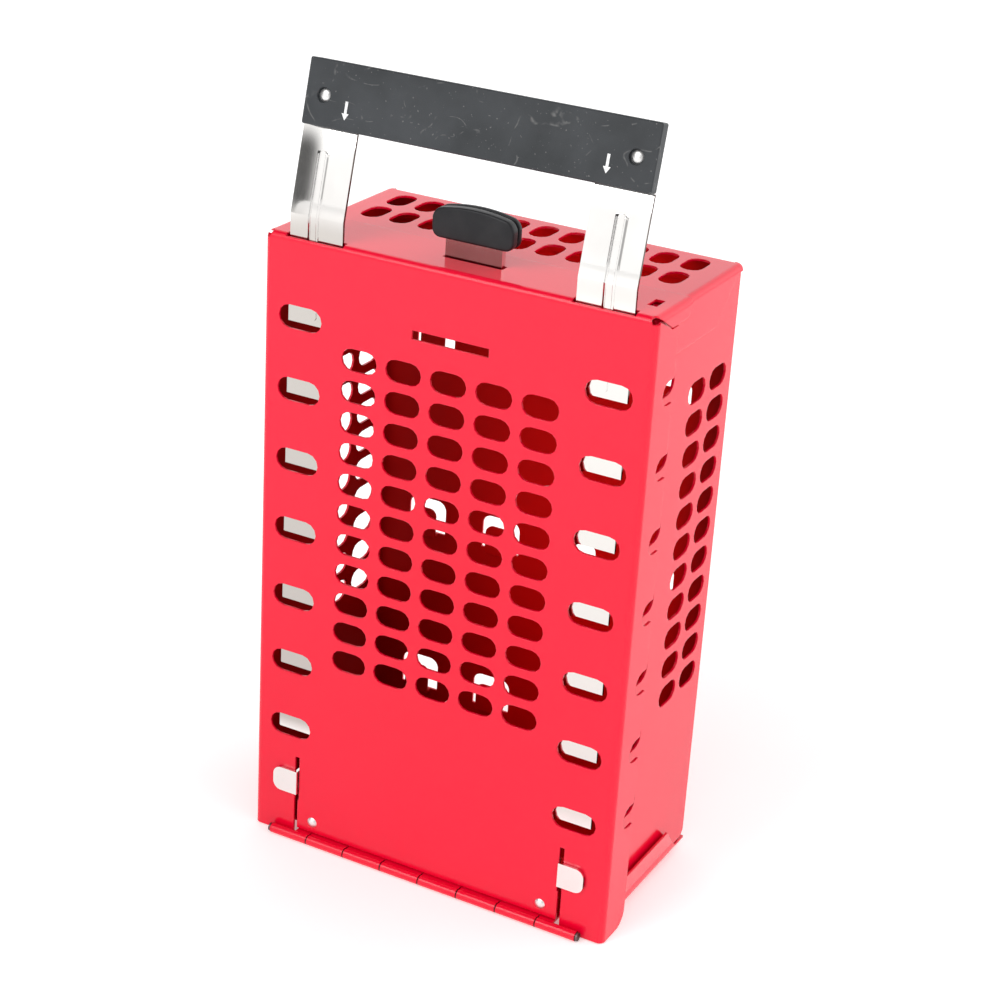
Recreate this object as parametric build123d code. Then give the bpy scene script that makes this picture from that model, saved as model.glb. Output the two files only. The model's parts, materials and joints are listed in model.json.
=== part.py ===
from build123d import *
import math
import os

# Group lockout box in folded sheet steel, with a perforated front cover, millimetres.
# X runs across the box, Y from its front to its back and Z up.
# The origin is on the floor, under the middle of the overall width and depth.

# Overall sizes
COVER_WIDTH = 162.0
COVER_HEIGHT = 257.2
DEPTH = 85.1
COVER_DROP = 3.2
SHEET = 1.0
BEND = 2.6
SIDE_GAP = 3.1
TOP_GAP = 1.0

# Cover flanges and the ears folded down from its top
FLANGE_DEPTH = 18.6
TOP_FLANGE_DEPTH = 29.8
EAR_DROP = 6.8
EAR_CORNER = 5.3
MITRE_RUN = 13.2
MITRE_GAP = 0.6
CORNER_HOLE_RADIUS = 1.5
FLANGE_CORNER = 6.4

# Vent slots
VENT_LENGTH = 15.4
VENT_WIDTH = 8.9
VENT_PITCH = 12.7
VENT_COLUMN_PITCH = 19.1
FRONT_VENT_COLUMNS = 5
FRONT_VENT_ROWS = 11
FRONT_VENT_BELOW_TOP = 106.5
SIDE_VENT_ROWS = 11
SIDE_VENT_BELOW_TOP = 106.8
TOP_VENT_COLUMNS = 11
LAST_VENT_FROM_BACK = 15.1
END_CHORDS = 6

# Padlock slots in the front and the holes that the shackles leave by
SLOT_LENGTH = 19.0
SLOT_WIDTH = 9.4
SLOT_FROM_EDGE = 16.4
SLOT_PITCH = 29.17
SLOTS_PER_SIDE = 7
SLOT_BELOW_TOP = 119.3
EXIT_FROM_FRONT = 9.7

# Slot for dropping keys in
KEY_SLOT_LENGTH = 32.2
KEY_SLOT_HEIGHT = 3.5
KEY_SLOT_BELOW_TOP = 27.3

# Body panels
WALL_FROM_FRONT = 4.0
PANEL_FROM_FRONT = 5.3
TOP_SIDE_FLANGE = 19.0
TOP_FLANGE_START = 24.0
TOP_FLANGE_END_FROM_BACK = 23.8
BASE_SIDE_FLANGE = 15.5
BASE_FLANGE_LAP = 5.3
BASE_FLANGE_SPLAY = 1.6
BASE_FLANGE_START = 8.5
BASE_FLANGE_END_FROM_BACK = 24.8
REAR_LAP = 10.6
REAR_LAP_INSET = 1.6
CORNER_RELIEF = 4.2

# Key hooks lanced from the back panel
HOOK_WINDOW_WIDTH = 17.4
HOOK_WINDOW_HEIGHT = 14.8
HOOK_CUT = 3.2
HOOK_JOG = 3.2
HOOK_SPACING = 35.1
HOOK_COLUMNS = 4
HOOK_ROWS_BELOW_TOP = (53.5, 132.9, 207.2)

# Hinge under the front edge
KNUCKLE_RADIUS = 2.0
KNUCKLE_BORE_RADIUS = 1.2
KNUCKLE_COUNT = 8
BARREL_FROM_EDGE = 10.0
KNUCKLE_GAP = 0.3
PIN_CLEARANCE = 0.05
PIN_HEAD_RADIUS = 1.7
PIN_HEAD = 0.8
AXIS_AHEAD = 2.4
AXIS_BELOW_BASE = 1.7
TAB_LIFT = 0.7
LEAF_CLEARANCE = 0.4
COVER_LEAF_HEIGHT = 12.8
BODY_LEAF_DEPTH = 21.0
RIVET_FROM_EDGE = 28.0
RIVET_SHANK_RADIUS = 1.4
RIVET_HEAD_RADIUS = 2.2
RIVET_HEAD = 0.9
COVER_RIVET_HEIGHT = 5.4
BASE_RIVET_FROM_FRONT = 12.7

# Slits in the cover that the lock bars' tongues come through
SLIT_FROM_EDGE = 20.2
SLIT_WIDTH = 2.0
RELIEF_FROM_SLIT = 0.3
RELIEF_WIDTH = 1.6
SLIT_ABOVE_LEAF = 1.0

# Lock bars
BAR_SHEET = 1.2
BAR_BEHIND_COVER = 1.0
BAR_FROM_EDGE = 9.9
BAR_WIDTH = 22.9
BAR_FOOT_WIDTH = 10.9
BAR_SLOT_GAP = 1.0
RIB_SLOT_GAP = 0.2
FOLD_CUT = 1.0
HANDLE_TRAVEL = 6.0
NOTCH_HEIGHT = 10.3
NOTCH_DROP = 2.4
NOTCH_CORNER = 2.1
TONGUE_HEIGHT = 10.6
TONGUE_ABOVE_LEAF = 4.1
TONGUE_REACH = 10.6
TONGUE_STANDOFF = 0.3
TONGUE_CORNER = 3.7
RIB_FROM_EDGE = 20.2
RIB_WIDTH = 4.2
RIB_DEPTH = 0.6
RIB_ABOVE_NOTCH = 1.6
RIB_BELOW_GRIP = 8.5
LEAN = 13.8
KINK_ABOVE_COVER = 8.1
GRIP_ABOVE_KINK = 33.0

# Handle, moulded in two halves that clamp the lock bars
HANDLE_END_INSET = 0.25
HANDLE_HEIGHT = 24.4
HANDLE_FRONT_THICKNESS = 3.4
HANDLE_REAR_THICKNESS = 2.8
HANDLE_CORNER = 0.8
HANDLE_EDGE = 0.4
HANDLE_REAR_INSET = 0.6
HANDLE_BAR_COVER = 2.6
HANDLE_RIVET_FROM_END = 7.8
HANDLE_RIVET_HEIGHT = 11.4
HANDLE_RIVET_SHANK_RADIUS = 1.6
HANDLE_RIVET_HEAD_RADIUS = 2.4
HANDLE_RIVET_HEAD = 0.9
HANDLE_RIVET_RECESS_RADIUS = 2.9
HANDLE_RIVET_RECESS = 1.2

# Latch that is pulled up to free the cover
LATCH_WIDTH = 23.5
LATCH_FROM_FRONT = 14.2
LATCH_SHEET = 1.0
LATCH_DEPTH = 2.6
LATCH_TRAVEL = 8.5
LATCH_SLOT_GAP = 0.7
LATCH_FOOT_BELOW_TOP = 17.3
LATCH_HEAD_ABOVE_TOP = 16.5
LATCH_WINDOW_WIDTH = 13.8
LATCH_WINDOW_CLEARANCE = 1.3
CATCH_WIDTH = 10.6
CATCH_LENGTH = 7.4
CATCH_NOTCH_WIDTH = 42.0
GUIDE_CLEARANCE = 0.3
GUIDE_HEIGHT = 12.7
GUIDE_LIP = 2.6
PULL_WIDTH = 33.7
PULL_THICKNESS = 7.0
PULL_HEIGHT = 12.8
PULL_ABOVE_TOP = 7.3
PULL_CROWN = 2.3
PULL_CORNER = 3.2
PULL_EDGE = 0.9
PULL_GROOVE = 0.5
PULL_GROOVE_WIDTH = 1.0
PULL_GROOVE_FROM_REAR = 2.0
EYELET_FROM_EDGE = 8.1
EYELET_WIDTH = 3.8
EYELET_LENGTH = 7.4

# Planes and edges that follow from the sizes above
HALF = COVER_WIDTH / 2
FRONT = (AXIS_AHEAD + KNUCKLE_RADIUS - DEPTH) / 2
BACK = FRONT + DEPTH
BASE_UNDER = AXIS_BELOW_BASE + KNUCKLE_RADIUS
BASE_TOP = BASE_UNDER + SHEET
COVER_BOTTOM = BASE_UNDER - COVER_DROP
COVER_TOP = COVER_BOTTOM + COVER_HEIGHT
COVER_BACK = FRONT + SHEET
BODY_HALF = HALF - SHEET - SIDE_GAP
BODY_TOP = COVER_TOP - SHEET - TOP_GAP
INNER_BEND = BEND - SHEET
WALL_BOTTOM = BASE_TOP + INNER_BEND
WALL_TOP = BODY_TOP - SHEET - INNER_BEND
EAR_BOTTOM = COVER_TOP - EAR_DROP
SLOT_X = HALF - SLOT_FROM_EDGE
SLOT_MIDDLE_Z = COVER_TOP - SLOT_BELOW_TOP
EXIT_MIDDLE_Y = FRONT + EXIT_FROM_FRONT + SLOT_LENGTH / 2
VENT_ROWS_Y = (BACK - LAST_VENT_FROM_BACK - VENT_COLUMN_PITCH, BACK - LAST_VENT_FROM_BACK)
LEAF_FRONT = COVER_BACK
AXIS_Y = FRONT - AXIS_AHEAD
AXIS_Z = KNUCKLE_RADIUS
BARREL_HALF = HALF - BARREL_FROM_EDGE
KNUCKLE_PITCH = 2 * BARREL_HALF / KNUCKLE_COUNT
RIVET_X = HALF - RIVET_FROM_EDGE
SLIT_X = HALF - SLIT_FROM_EDGE
RELIEF_X = SLIT_X + RELIEF_FROM_SLIT
LEAF_HALF = RELIEF_X - RELIEF_WIDTH / 2 - LEAF_CLEARANCE
BAR_FRONT = COVER_BACK + BAR_BEHIND_COVER
BAR_OUTER_X = HALF - BAR_FROM_EDGE
BAR_INNER_X = BAR_OUTER_X - BAR_WIDTH
RIB_X = HALF - RIB_FROM_EDGE
COVER_LEAF_TOP = BASE_UNDER + COVER_LEAF_HEIGHT
BAR_BOTTOM = COVER_LEAF_TOP
KINK_Z = COVER_TOP + KINK_ABOVE_COVER
TONGUE_BOTTOM = COVER_LEAF_TOP + TONGUE_ABOVE_LEAF
TONGUE_TOP = TONGUE_BOTTOM + TONGUE_HEIGHT
SLIT_BOTTOM = COVER_LEAF_TOP + SLIT_ABOVE_LEAF
SLIT_TOP = TONGUE_TOP + HANDLE_TRAVEL + TONGUE_STANDOFF
HANDLE_HALF = BAR_OUTER_X - HANDLE_END_INSET
HANDLE_RIVET_X = HANDLE_HALF - HANDLE_RIVET_FROM_END
EYELET_X = HALF - EYELET_FROM_EDGE
LATCH_FRONT = FRONT + LATCH_FROM_FRONT
LATCH_FOOT_Z = COVER_TOP - LATCH_FOOT_BELOW_TOP
LEAN_RADIANS = math.radians(LEAN)

# Frame of the handle: X along it, Y square to the lock bars towards the back, Z up along them
HANDLE_FRAME = Location(
    Plane(
        origin=(
            0,
            BAR_FRONT + GRIP_ABOVE_KINK * math.sin(LEAN_RADIANS),
            KINK_Z + GRIP_ABOVE_KINK * math.cos(LEAN_RADIANS),
        ),
        x_dir=(1, 0, 0),
        z_dir=(0, math.sin(LEAN_RADIANS), math.cos(LEAN_RADIANS)),
    )
)


def block(x_low, x_high, y_low, y_high, z_low, z_high):
    """Box between six planes."""
    middle = Pos((x_low + x_high) / 2, (y_low + y_high) / 2, (z_low + z_high) / 2)
    return middle * Box(x_high - x_low, y_high - y_low, z_high - z_low)


def both_sides(x_low, x_high, y_low, y_high, z_low, z_high):
    """Two boxes, mirrored across the middle of the width."""
    right = block(x_low, x_high, y_low, y_high, z_low, z_high)
    return [right, mirror(right, Plane.YZ)]


def along_x(outline, x_low, x_high):
    """Prism from an outline of (y, z) points, between two X planes."""
    face = Plane.YZ * Polygon(*outline, align=None)
    return Pos(x_low, 0, 0) * extrude(face, x_high - x_low, dir=(1, 0, 0))


def along_y(sketch, y_low, y_high):
    """Prism from a sketch drawn in X and Z, between two Y planes."""
    return Pos(0, y_low, 0) * extrude(Plane.XZ * sketch, y_high - y_low, dir=(0, 1, 0))


def rod_x(radius, x_low, x_high, y, z):
    """Round rod along X."""
    return Pos((x_low + x_high) / 2, y, z) * Rot(0, 90, 0) * Cylinder(radius, x_high - x_low)


def rod_y(radius, y_low, y_high, x, z):
    """Round rod along Y."""
    return Pos(x, (y_low + y_high) / 2, z) * Rot(90, 0, 0) * Cylinder(radius, y_high - y_low)


def rod_z(radius, z_low, z_high, x, y):
    """Round rod along Z."""
    return Pos(x, y, (z_low + z_high) / 2) * Cylinder(radius, z_high - z_low)


def spaced(count, pitch):
    """Places of a row of equally spaced features about its middle."""
    return [(index - (count - 1) / 2) * pitch for index in range(count)]


def edges_on(solid, direction, **planes):
    """Edges along one axis that lie on the stated planes, such as y=FRONT."""
    found = []
    for edge in solid.edges().filter_by(direction):
        middle = edge.center()
        places = {"x": middle.X, "y": middle.Y, "z": middle.Z}
        if all(abs(abs(places[name]) - abs(value)) < 0.01 for name, value in planes.items()):
            found.append(edge)
    return found


def oblong(length, width):
    """Outline of a hole with round ends, drawn with few chords because it repeats so often."""
    radius = width / 2
    points = []
    for end in (1, -1):
        for step in range(END_CHORDS + 1):
            turn = math.pi * (step / END_CHORDS - 0.5)
            reach = length / 2 - radius + radius * math.cos(turn)
            points.append((end * reach, end * radius * math.sin(turn)))
    return Polygon(*points, align=None)


def slot_heights():
    """Heights of the padlock slots."""
    return [SLOT_MIDDLE_Z + offset for offset in spaced(SLOTS_PER_SIDE, SLOT_PITCH)]


def bent_strip(depth_from, depth_to, x_low, x_high, z_low, run_above_kink):
    """Layer of a lock bar between two depths behind its front face, upright and then leaning."""
    mitre = math.tan(LEAN_RADIANS / 2)
    lean_y = math.sin(LEAN_RADIANS)
    lean_z = math.cos(LEAN_RADIANS)
    outline = []
    for depth, upwards in ((depth_from, True), (depth_to, False)):
        foot = (BAR_FRONT + depth, z_low)
        kink = (BAR_FRONT + depth, KINK_Z - depth * mitre)
        head = (
            BAR_FRONT + run_above_kink * lean_y + depth * lean_z,
            KINK_Z + run_above_kink * lean_z - depth * lean_y,
        )
        outline += [foot, kink, head] if upwards else [head, kink, foot]
    return along_x(outline, x_low, x_high)


def vent_cutters_front():
    """Vents of the front cover."""
    cutters = []
    middle = COVER_TOP - FRONT_VENT_BELOW_TOP
    for x in spaced(FRONT_VENT_COLUMNS, VENT_COLUMN_PITCH):
        for rise in spaced(FRONT_VENT_ROWS, VENT_PITCH):
            outline = Pos(x, middle + rise) * oblong(VENT_LENGTH, VENT_WIDTH)
            cutters.append(along_y(outline, FRONT - SHEET, COVER_BACK + SHEET))
    return cutters


def padlock_slot_cutters():
    """Padlock slots down both edges of the front cover."""
    cutters = []
    for z in slot_heights():
        for x in (-SLOT_X, SLOT_X):
            outline = Pos(x, z) * oblong(SLOT_LENGTH, SLOT_WIDTH)
            cutters.append(along_y(outline, FRONT - SHEET, COVER_BACK + SHEET))
    return cutters


def shackle_exit_cutters(x_limit):
    """Oblong openings across both sides, behind the padlock slots."""
    cutters = []
    for z in slot_heights():
        outline = Plane.YZ * Pos(EXIT_MIDDLE_Y, z) * oblong(SLOT_LENGTH, SLOT_WIDTH)
        cutters.append(Pos(-x_limit, 0, 0) * extrude(outline, 2 * x_limit, dir=(1, 0, 0)))
    return cutters


def front_cover():
    """Front sheet with side and top flanges, mitred at the top corners."""
    rear = FRONT + TOP_FLANGE_DEPTH
    outer = block(-HALF, HALF, FRONT, rear, COVER_BOTTOM, COVER_TOP)
    folds = edges_on(outer, Axis.Z, y=FRONT, x=HALF)
    folds = [edge for edge in folds if edge.center().Y < 0]
    folds += [edge for edge in edges_on(outer, Axis.X, z=COVER_TOP) if edge.center().Y < FRONT + SHEET]
    folds += edges_on(outer, Axis.Y, x=HALF, z=COVER_TOP)
    outer = fillet(folds, BEND)
    inner_half = HALF - SHEET
    inner_top = COVER_TOP - SHEET
    inner = block(-inner_half, inner_half, COVER_BACK, rear + SHEET, COVER_BOTTOM - SHEET, inner_top)
    folds = [edge for edge in edges_on(inner, Axis.Z, x=inner_half) if edge.center().Y < COVER_BACK + SHEET]
    folds += [edge for edge in edges_on(inner, Axis.X, z=inner_top) if edge.center().Y < COVER_BACK + SHEET]
    folds += edges_on(inner, Axis.Y, x=inner_half, z=inner_top)
    inner = fillet(folds, INNER_BEND)
    sheet = outer - inner

    wide = HALF + SHEET
    flange_edge = FRONT + FLANGE_DEPTH
    ear_gap_z = EAR_BOTTOM - MITRE_GAP
    sheet -= block(-wide, wide, flange_edge, rear + SHEET, COVER_BOTTOM - SHEET, EAR_BOTTOM)
    sheet -= block(-wide, wide, FRONT + MITRE_RUN, flange_edge + SHEET, ear_gap_z, EAR_BOTTOM)
    mitre = [
        (FRONT - SHEET, COVER_TOP),
        (FRONT, COVER_TOP + SHEET),
        (FRONT + MITRE_RUN, EAR_BOTTOM),
        (FRONT + MITRE_RUN, ear_gap_z),
    ]
    mitre_cut = along_x(mitre, HALF - BEND, wide)
    sheet -= [mitre_cut, mirror(mitre_cut, Plane.YZ)]

    corners = [edge for edge in edges_on(sheet, Axis.X, z=EAR_BOTTOM) if edge.center().Y > rear - SHEET]
    sheet = fillet(corners, EAR_CORNER)
    corners = [
        edge
        for edge in edges_on(sheet, Axis.X, z=COVER_BOTTOM)
        if edge.center().Y > flange_edge - SHEET
    ]
    sheet = fillet(corners, FLANGE_CORNER)

    cutters = vent_cutters_front() + padlock_slot_cutters()
    key_z = COVER_TOP - KEY_SLOT_BELOW_TOP
    key_half = KEY_SLOT_LENGTH / 2
    key_rise = KEY_SLOT_HEIGHT / 2
    cutters.append(block(-key_half, key_half, FRONT - SHEET, COVER_BACK + SHEET, key_z - key_rise, key_z + key_rise))
    slit_half = SLIT_WIDTH / 2
    cutters += both_sides(
        SLIT_X - slit_half, SLIT_X + slit_half, FRONT - SHEET, COVER_BACK + SHEET, SLIT_BOTTOM, SLIT_TOP
    )
    tab_half = RELIEF_X - RELIEF_WIDTH / 2
    cutters += both_sides(
        tab_half, RELIEF_X + RELIEF_WIDTH / 2, FRONT - SHEET, COVER_BACK + SHEET, COVER_BOTTOM - SHEET, SLIT_BOTTOM
    )
    tab_bottom = BASE_UNDER + TAB_LIFT
    cutters.append(block(-tab_half, tab_half, FRONT - SHEET, COVER_BACK + SHEET, COVER_BOTTOM - SHEET, tab_bottom))
    gap_inner = BAR_INNER_X - BAR_SLOT_GAP
    gap_outer = BAR_OUTER_X + BAR_SLOT_GAP
    gap_back = BAR_FRONT + BAR_SHEET + BAR_SLOT_GAP
    gap_front = BAR_FRONT - RIB_DEPTH - RIB_SLOT_GAP
    for low_y, low_z in ((FRONT - SHEET, COVER_TOP - FOLD_CUT), (gap_front, COVER_TOP - BEND)):
        cutters += both_sides(gap_inner, gap_outer, low_y, gap_back, low_z, COVER_TOP + SHEET)
    corner_x = HALF - CORNER_HOLE_RADIUS
    corner_y = FRONT + CORNER_HOLE_RADIUS
    cutters += [
        rod_z(CORNER_HOLE_RADIUS, COVER_TOP - BEND, COVER_TOP + SHEET, x, corner_y) for x in (-corner_x, corner_x)
    ]
    strip_half = LATCH_WIDTH / 2 + LATCH_SLOT_GAP
    cutters.append(
        block(
            -strip_half,
            strip_half,
            LATCH_FRONT - LATCH_SLOT_GAP,
            LATCH_FRONT + LATCH_DEPTH + LATCH_SLOT_GAP,
            inner_top - SHEET,
            COVER_TOP + SHEET,
        )
    )
    eyelet_y = LATCH_FRONT + LATCH_DEPTH / 2
    cutters += both_sides(
        EYELET_X - EYELET_WIDTH / 2,
        EYELET_X + EYELET_WIDTH / 2,
        eyelet_y - EYELET_LENGTH / 2,
        eyelet_y + EYELET_LENGTH / 2,
        inner_top - SHEET,
        COVER_TOP + SHEET,
    )
    cutters += shackle_exit_cutters(wide)
    cutters += [
        rod_y(RIVET_SHANK_RADIUS, FRONT - SHEET, COVER_BACK + SHEET, x, BASE_UNDER + COVER_RIVET_HEIGHT)
        for x in (-RIVET_X, RIVET_X)
    ]
    return sheet - cutters


def key_hook(x, top):
    """Hook tab, jogged inwards from the foot of its window."""
    tab_half = HOOK_WINDOW_WIDTH / 2 - HOOK_CUT
    foot = top - HOOK_WINDOW_HEIGHT
    tab_front = BACK - SHEET - HOOK_JOG
    tab = block(x - tab_half, x + tab_half, tab_front, tab_front + SHEET, foot, top - HOOK_CUT)
    tab = fillet(edges_on(tab, Axis.Y, z=top - HOOK_CUT), HOOK_CUT)
    jog = block(x - tab_half, x + tab_half, tab_front, BACK, foot - SHEET, foot)
    return tab + jog


def hook_places():
    """Middle and top of each hook window."""
    columns = spaced(HOOK_COLUMNS, HOOK_SPACING)
    return [(x, COVER_TOP - below) for x in columns for below in HOOK_ROWS_BELOW_TOP]


def back_and_sides():
    """Side walls and back folded from one sheet, with vents, shackle holes and key hooks."""
    front = FRONT + WALL_FROM_FRONT
    outer = block(-BODY_HALF, BODY_HALF, front, BACK, WALL_BOTTOM, WALL_TOP)
    outer = fillet([edge for edge in edges_on(outer, Axis.Z, x=BODY_HALF) if edge.center().Y > 0], BEND)
    inner_half = BODY_HALF - SHEET
    inner = block(-inner_half, inner_half, front - SHEET, BACK - SHEET, WALL_BOTTOM - SHEET, WALL_TOP + SHEET)
    folds = [edge for edge in edges_on(inner, Axis.Z, x=inner_half) if edge.center().Y > 0]
    inner = fillet(folds, INNER_BEND)
    sheet = outer - inner

    wide = BODY_HALF + SHEET
    cutters = []
    for row_y in VENT_ROWS_Y:
        for rise in spaced(SIDE_VENT_ROWS, VENT_PITCH):
            z = COVER_TOP - SIDE_VENT_BELOW_TOP + rise
            outline = Plane.YZ * Pos(row_y, z) * oblong(VENT_LENGTH, VENT_WIDTH)
            cutters.append(Pos(-wide, 0, 0) * extrude(outline, 2 * wide, dir=(1, 0, 0)))
    cutters += shackle_exit_cutters(wide)
    half_window = HOOK_WINDOW_WIDTH / 2
    for x, top in hook_places():
        foot = top - HOOK_WINDOW_HEIGHT
        window = block(x - half_window, x + half_window, BACK - 2 * SHEET, BACK + SHEET, foot, top)
        cutters.append(fillet(edges_on(window, Axis.Y, z=top), HOOK_CUT + SHEET))
    relief = [
        (BACK + SHEET, WALL_BOTTOM - SHEET),
        (BACK - CORNER_RELIEF, WALL_BOTTOM - SHEET),
        (BACK - CORNER_RELIEF, WALL_BOTTOM),
        (BACK + SHEET, WALL_BOTTOM + CORNER_RELIEF + SHEET),
    ]
    relief_cut = along_x(relief, BODY_HALF - BEND, wide)
    cutters += [relief_cut, mirror(relief_cut, Plane.YZ)]
    sheet -= cutters
    for x, top in hook_places():
        sheet += key_hook(x, top)
    return sheet


def top_panel():
    """Top of the body with lapped side flanges, vents and the tongue that the latch holds."""
    outer_half = BODY_HALF + SHEET
    front = FRONT + PANEL_FROM_FRONT
    flange_bottom = COVER_TOP - SHEET - TOP_GAP - TOP_SIDE_FLANGE
    under = BODY_TOP - SHEET
    outer = block(-outer_half, outer_half, front, BACK, flange_bottom, BODY_TOP)
    outer = fillet([edge for edge in edges_on(outer, Axis.Z, x=outer_half) if edge.center().Y > 0], BEND + SHEET)
    outer = fillet(edges_on(outer, Axis.Y, x=outer_half, z=BODY_TOP), BEND)
    inner = block(-BODY_HALF, BODY_HALF, front - SHEET, BACK - SHEET, flange_bottom - SHEET, under)
    inner = fillet([edge for edge in edges_on(inner, Axis.Z, x=BODY_HALF) if edge.center().Y > 0], BEND)
    inner = fillet(edges_on(inner, Axis.Y, x=BODY_HALF, z=under), INNER_BEND)
    sheet = outer - inner

    wide = outer_half + SHEET
    start_y = FRONT + TOP_FLANGE_START
    sheet -= block(-wide, wide, front - SHEET, start_y, flange_bottom - SHEET, EAR_BOTTOM)
    chamfer_y = BACK - TOP_FLANGE_END_FROM_BACK
    chamfer_top = BODY_TOP - BEND
    behind = [
        (chamfer_y - SHEET, flange_bottom - SHEET),
        (chamfer_y + chamfer_top - flange_bottom, chamfer_top),
        (BACK + SHEET, chamfer_top),
        (BACK + SHEET, flange_bottom - SHEET),
    ]
    sheet -= along_x(behind, -wide, wide)

    notch_half = CATCH_NOTCH_WIDTH / 2
    notch_back = LATCH_FRONT + LATCH_DEPTH + CATCH_LENGTH - LATCH_SHEET - LATCH_DEPTH
    sheet -= block(-notch_half, notch_half, front - SHEET, notch_back, under - SHEET, BODY_TOP + SHEET)
    catch_half = CATCH_WIDTH / 2
    sheet += block(-catch_half, catch_half, notch_back - CATCH_LENGTH, notch_back, under, BODY_TOP)
    lap_half = BODY_HALF - SHEET - REAR_LAP_INSET
    lap_back = BACK - SHEET
    fold_front = lap_back - BEND - SHEET
    sheet -= block(-lap_half, lap_half, fold_front, BACK + SHEET, chamfer_top - SHEET, BODY_TOP + SHEET)
    outer = block(-lap_half, lap_half, fold_front, lap_back, under - REAR_LAP, BODY_TOP)
    outer = fillet(edges_on(outer, Axis.X, y=lap_back, z=BODY_TOP), BEND)
    inner = block(-wide, wide, fold_front - SHEET, lap_back - SHEET, under - REAR_LAP - SHEET, under)
    inner = fillet(edges_on(inner, Axis.X, y=lap_back - SHEET, z=under), INNER_BEND)
    sheet += outer - inner

    cutters = []
    for x in spaced(TOP_VENT_COLUMNS, VENT_PITCH):
        for row_y in VENT_ROWS_Y:
            outline = Pos(x, row_y) * Rot(0, 0, 90) * oblong(VENT_LENGTH, VENT_WIDTH)
            cutters.append(Pos(0, 0, under - SHEET) * extrude(outline, 3 * SHEET, dir=(0, 0, 1)))
    return sheet - cutters


def bottom_panel():
    """Base of the body with splayed side flanges and a rear lap."""
    front = FRONT + PANEL_FROM_FRONT
    sheet = block(-BODY_HALF, BODY_HALF, front, BACK - SHEET, BASE_UNDER, BASE_TOP)
    lap_half = BODY_HALF - SHEET - REAR_LAP_INSET
    sheet += block(-lap_half, lap_half, BACK - 2 * SHEET, BACK - SHEET, BASE_TOP, BASE_TOP + REAR_LAP)

    start_y = FRONT + BASE_FLANGE_START
    end_y = BACK - BASE_FLANGE_END_FROM_BACK
    lap_top = BASE_UNDER + BASE_FLANGE_LAP
    flange_top = BASE_UNDER + BASE_SIDE_FLANGE
    section = [
        (BODY_HALF - BEND, BASE_UNDER),
        (BODY_HALF + SHEET, BASE_UNDER),
        (BODY_HALF + SHEET, lap_top),
        (BODY_HALF + SHEET + BASE_FLANGE_SPLAY, flange_top),
        (BODY_HALF + BASE_FLANGE_SPLAY, flange_top),
        (BODY_HALF, lap_top),
        (BODY_HALF, BASE_TOP),
        (BODY_HALF - BEND, BASE_TOP),
    ]
    flange = along_y(Polygon(*section, align=None), start_y, end_y + BASE_SIDE_FLANGE)
    flange = fillet(edges_on(flange, Axis.Y, x=BODY_HALF + SHEET, z=BASE_UNDER), BEND)
    chamfer = [
        (end_y, flange_top),
        (end_y + BASE_SIDE_FLANGE, BASE_UNDER),
        (end_y + BASE_SIDE_FLANGE + SHEET, BASE_UNDER),
        (end_y + BASE_SIDE_FLANGE + SHEET, flange_top + SHEET),
        (end_y, flange_top + SHEET),
    ]
    flange -= along_x(chamfer, BODY_HALF - BEND - SHEET, BODY_HALF + BASE_FLANGE_SPLAY + BEND)
    sheet += flange
    sheet += mirror(flange, Plane.YZ)
    rivet_y = FRONT + BASE_RIVET_FROM_FRONT
    return sheet - [
        rod_z(RIVET_SHANK_RADIUS, BASE_UNDER - SHEET, BASE_TOP + SHEET, x, rivet_y) for x in (-RIVET_X, RIVET_X)
    ]


def knuckle_spans(first):
    """X range of every second knuckle, shortened by the gap to its neighbours."""
    spans = []
    for index in range(first, KNUCKLE_COUNT, 2):
        low = -BARREL_HALF + index * KNUCKLE_PITCH
        spans.append((low + KNUCKLE_GAP / 2, low + KNUCKLE_PITCH - KNUCKLE_GAP / 2))
    return spans


def knuckles(spans, finger_back):
    """Rolled knuckles, each with the finger that joins it to its leaf."""
    parts = []
    for low, high in spans:
        finger_low = max(low, -LEAF_HALF)
        finger_high = min(high, LEAF_HALF)
        roll = rod_x(KNUCKLE_RADIUS, low, high, AXIS_Y, AXIS_Z)
        finger = block(finger_low, finger_high, AXIS_Y, finger_back, BASE_UNDER - SHEET, BASE_UNDER)
        bore = rod_x(KNUCKLE_BORE_RADIUS, low - SHEET, high + SHEET, AXIS_Y, AXIS_Z)
        parts.append(roll + finger - bore)
    return parts


def cover_hinge_leaf():
    """Leaf riveted behind the foot of the cover, with every second knuckle."""
    back = LEAF_FRONT + SHEET
    leaf_bottom = BASE_UNDER + LEAF_CLEARANCE
    leaf = block(-LEAF_HALF, LEAF_HALF, LEAF_FRONT, back, leaf_bottom, COVER_LEAF_TOP)
    spans = knuckle_spans(0)
    for low, high in spans:
        finger_low = max(low, -LEAF_HALF)
        finger_high = min(high, LEAF_HALF)
        leaf += block(finger_low, finger_high, LEAF_FRONT, back, BASE_UNDER - SHEET, leaf_bottom)
    for knuckle in knuckles(spans, back):
        leaf += knuckle
    return leaf - [
        rod_y(RIVET_SHANK_RADIUS, LEAF_FRONT - SHEET, back + SHEET, x, BASE_UNDER + COVER_RIVET_HEIGHT)
        for x in (-RIVET_X, RIVET_X)
    ]


def body_hinge_leaf():
    """Leaf riveted under the base, with the other knuckles."""
    leaf_front = LEAF_FRONT + SHEET + 2 * LEAF_CLEARANCE
    under = BASE_UNDER - SHEET
    leaf = block(-LEAF_HALF, LEAF_HALF, leaf_front, FRONT + BODY_LEAF_DEPTH, under, BASE_UNDER)
    for knuckle in knuckles(knuckle_spans(1), leaf_front):
        leaf += knuckle
    rivet_y = FRONT + BASE_RIVET_FROM_FRONT
    return leaf - [
        rod_z(RIVET_SHANK_RADIUS, under - SHEET, BASE_TOP, x, rivet_y) for x in (-RIVET_X, RIVET_X)
    ]


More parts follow.
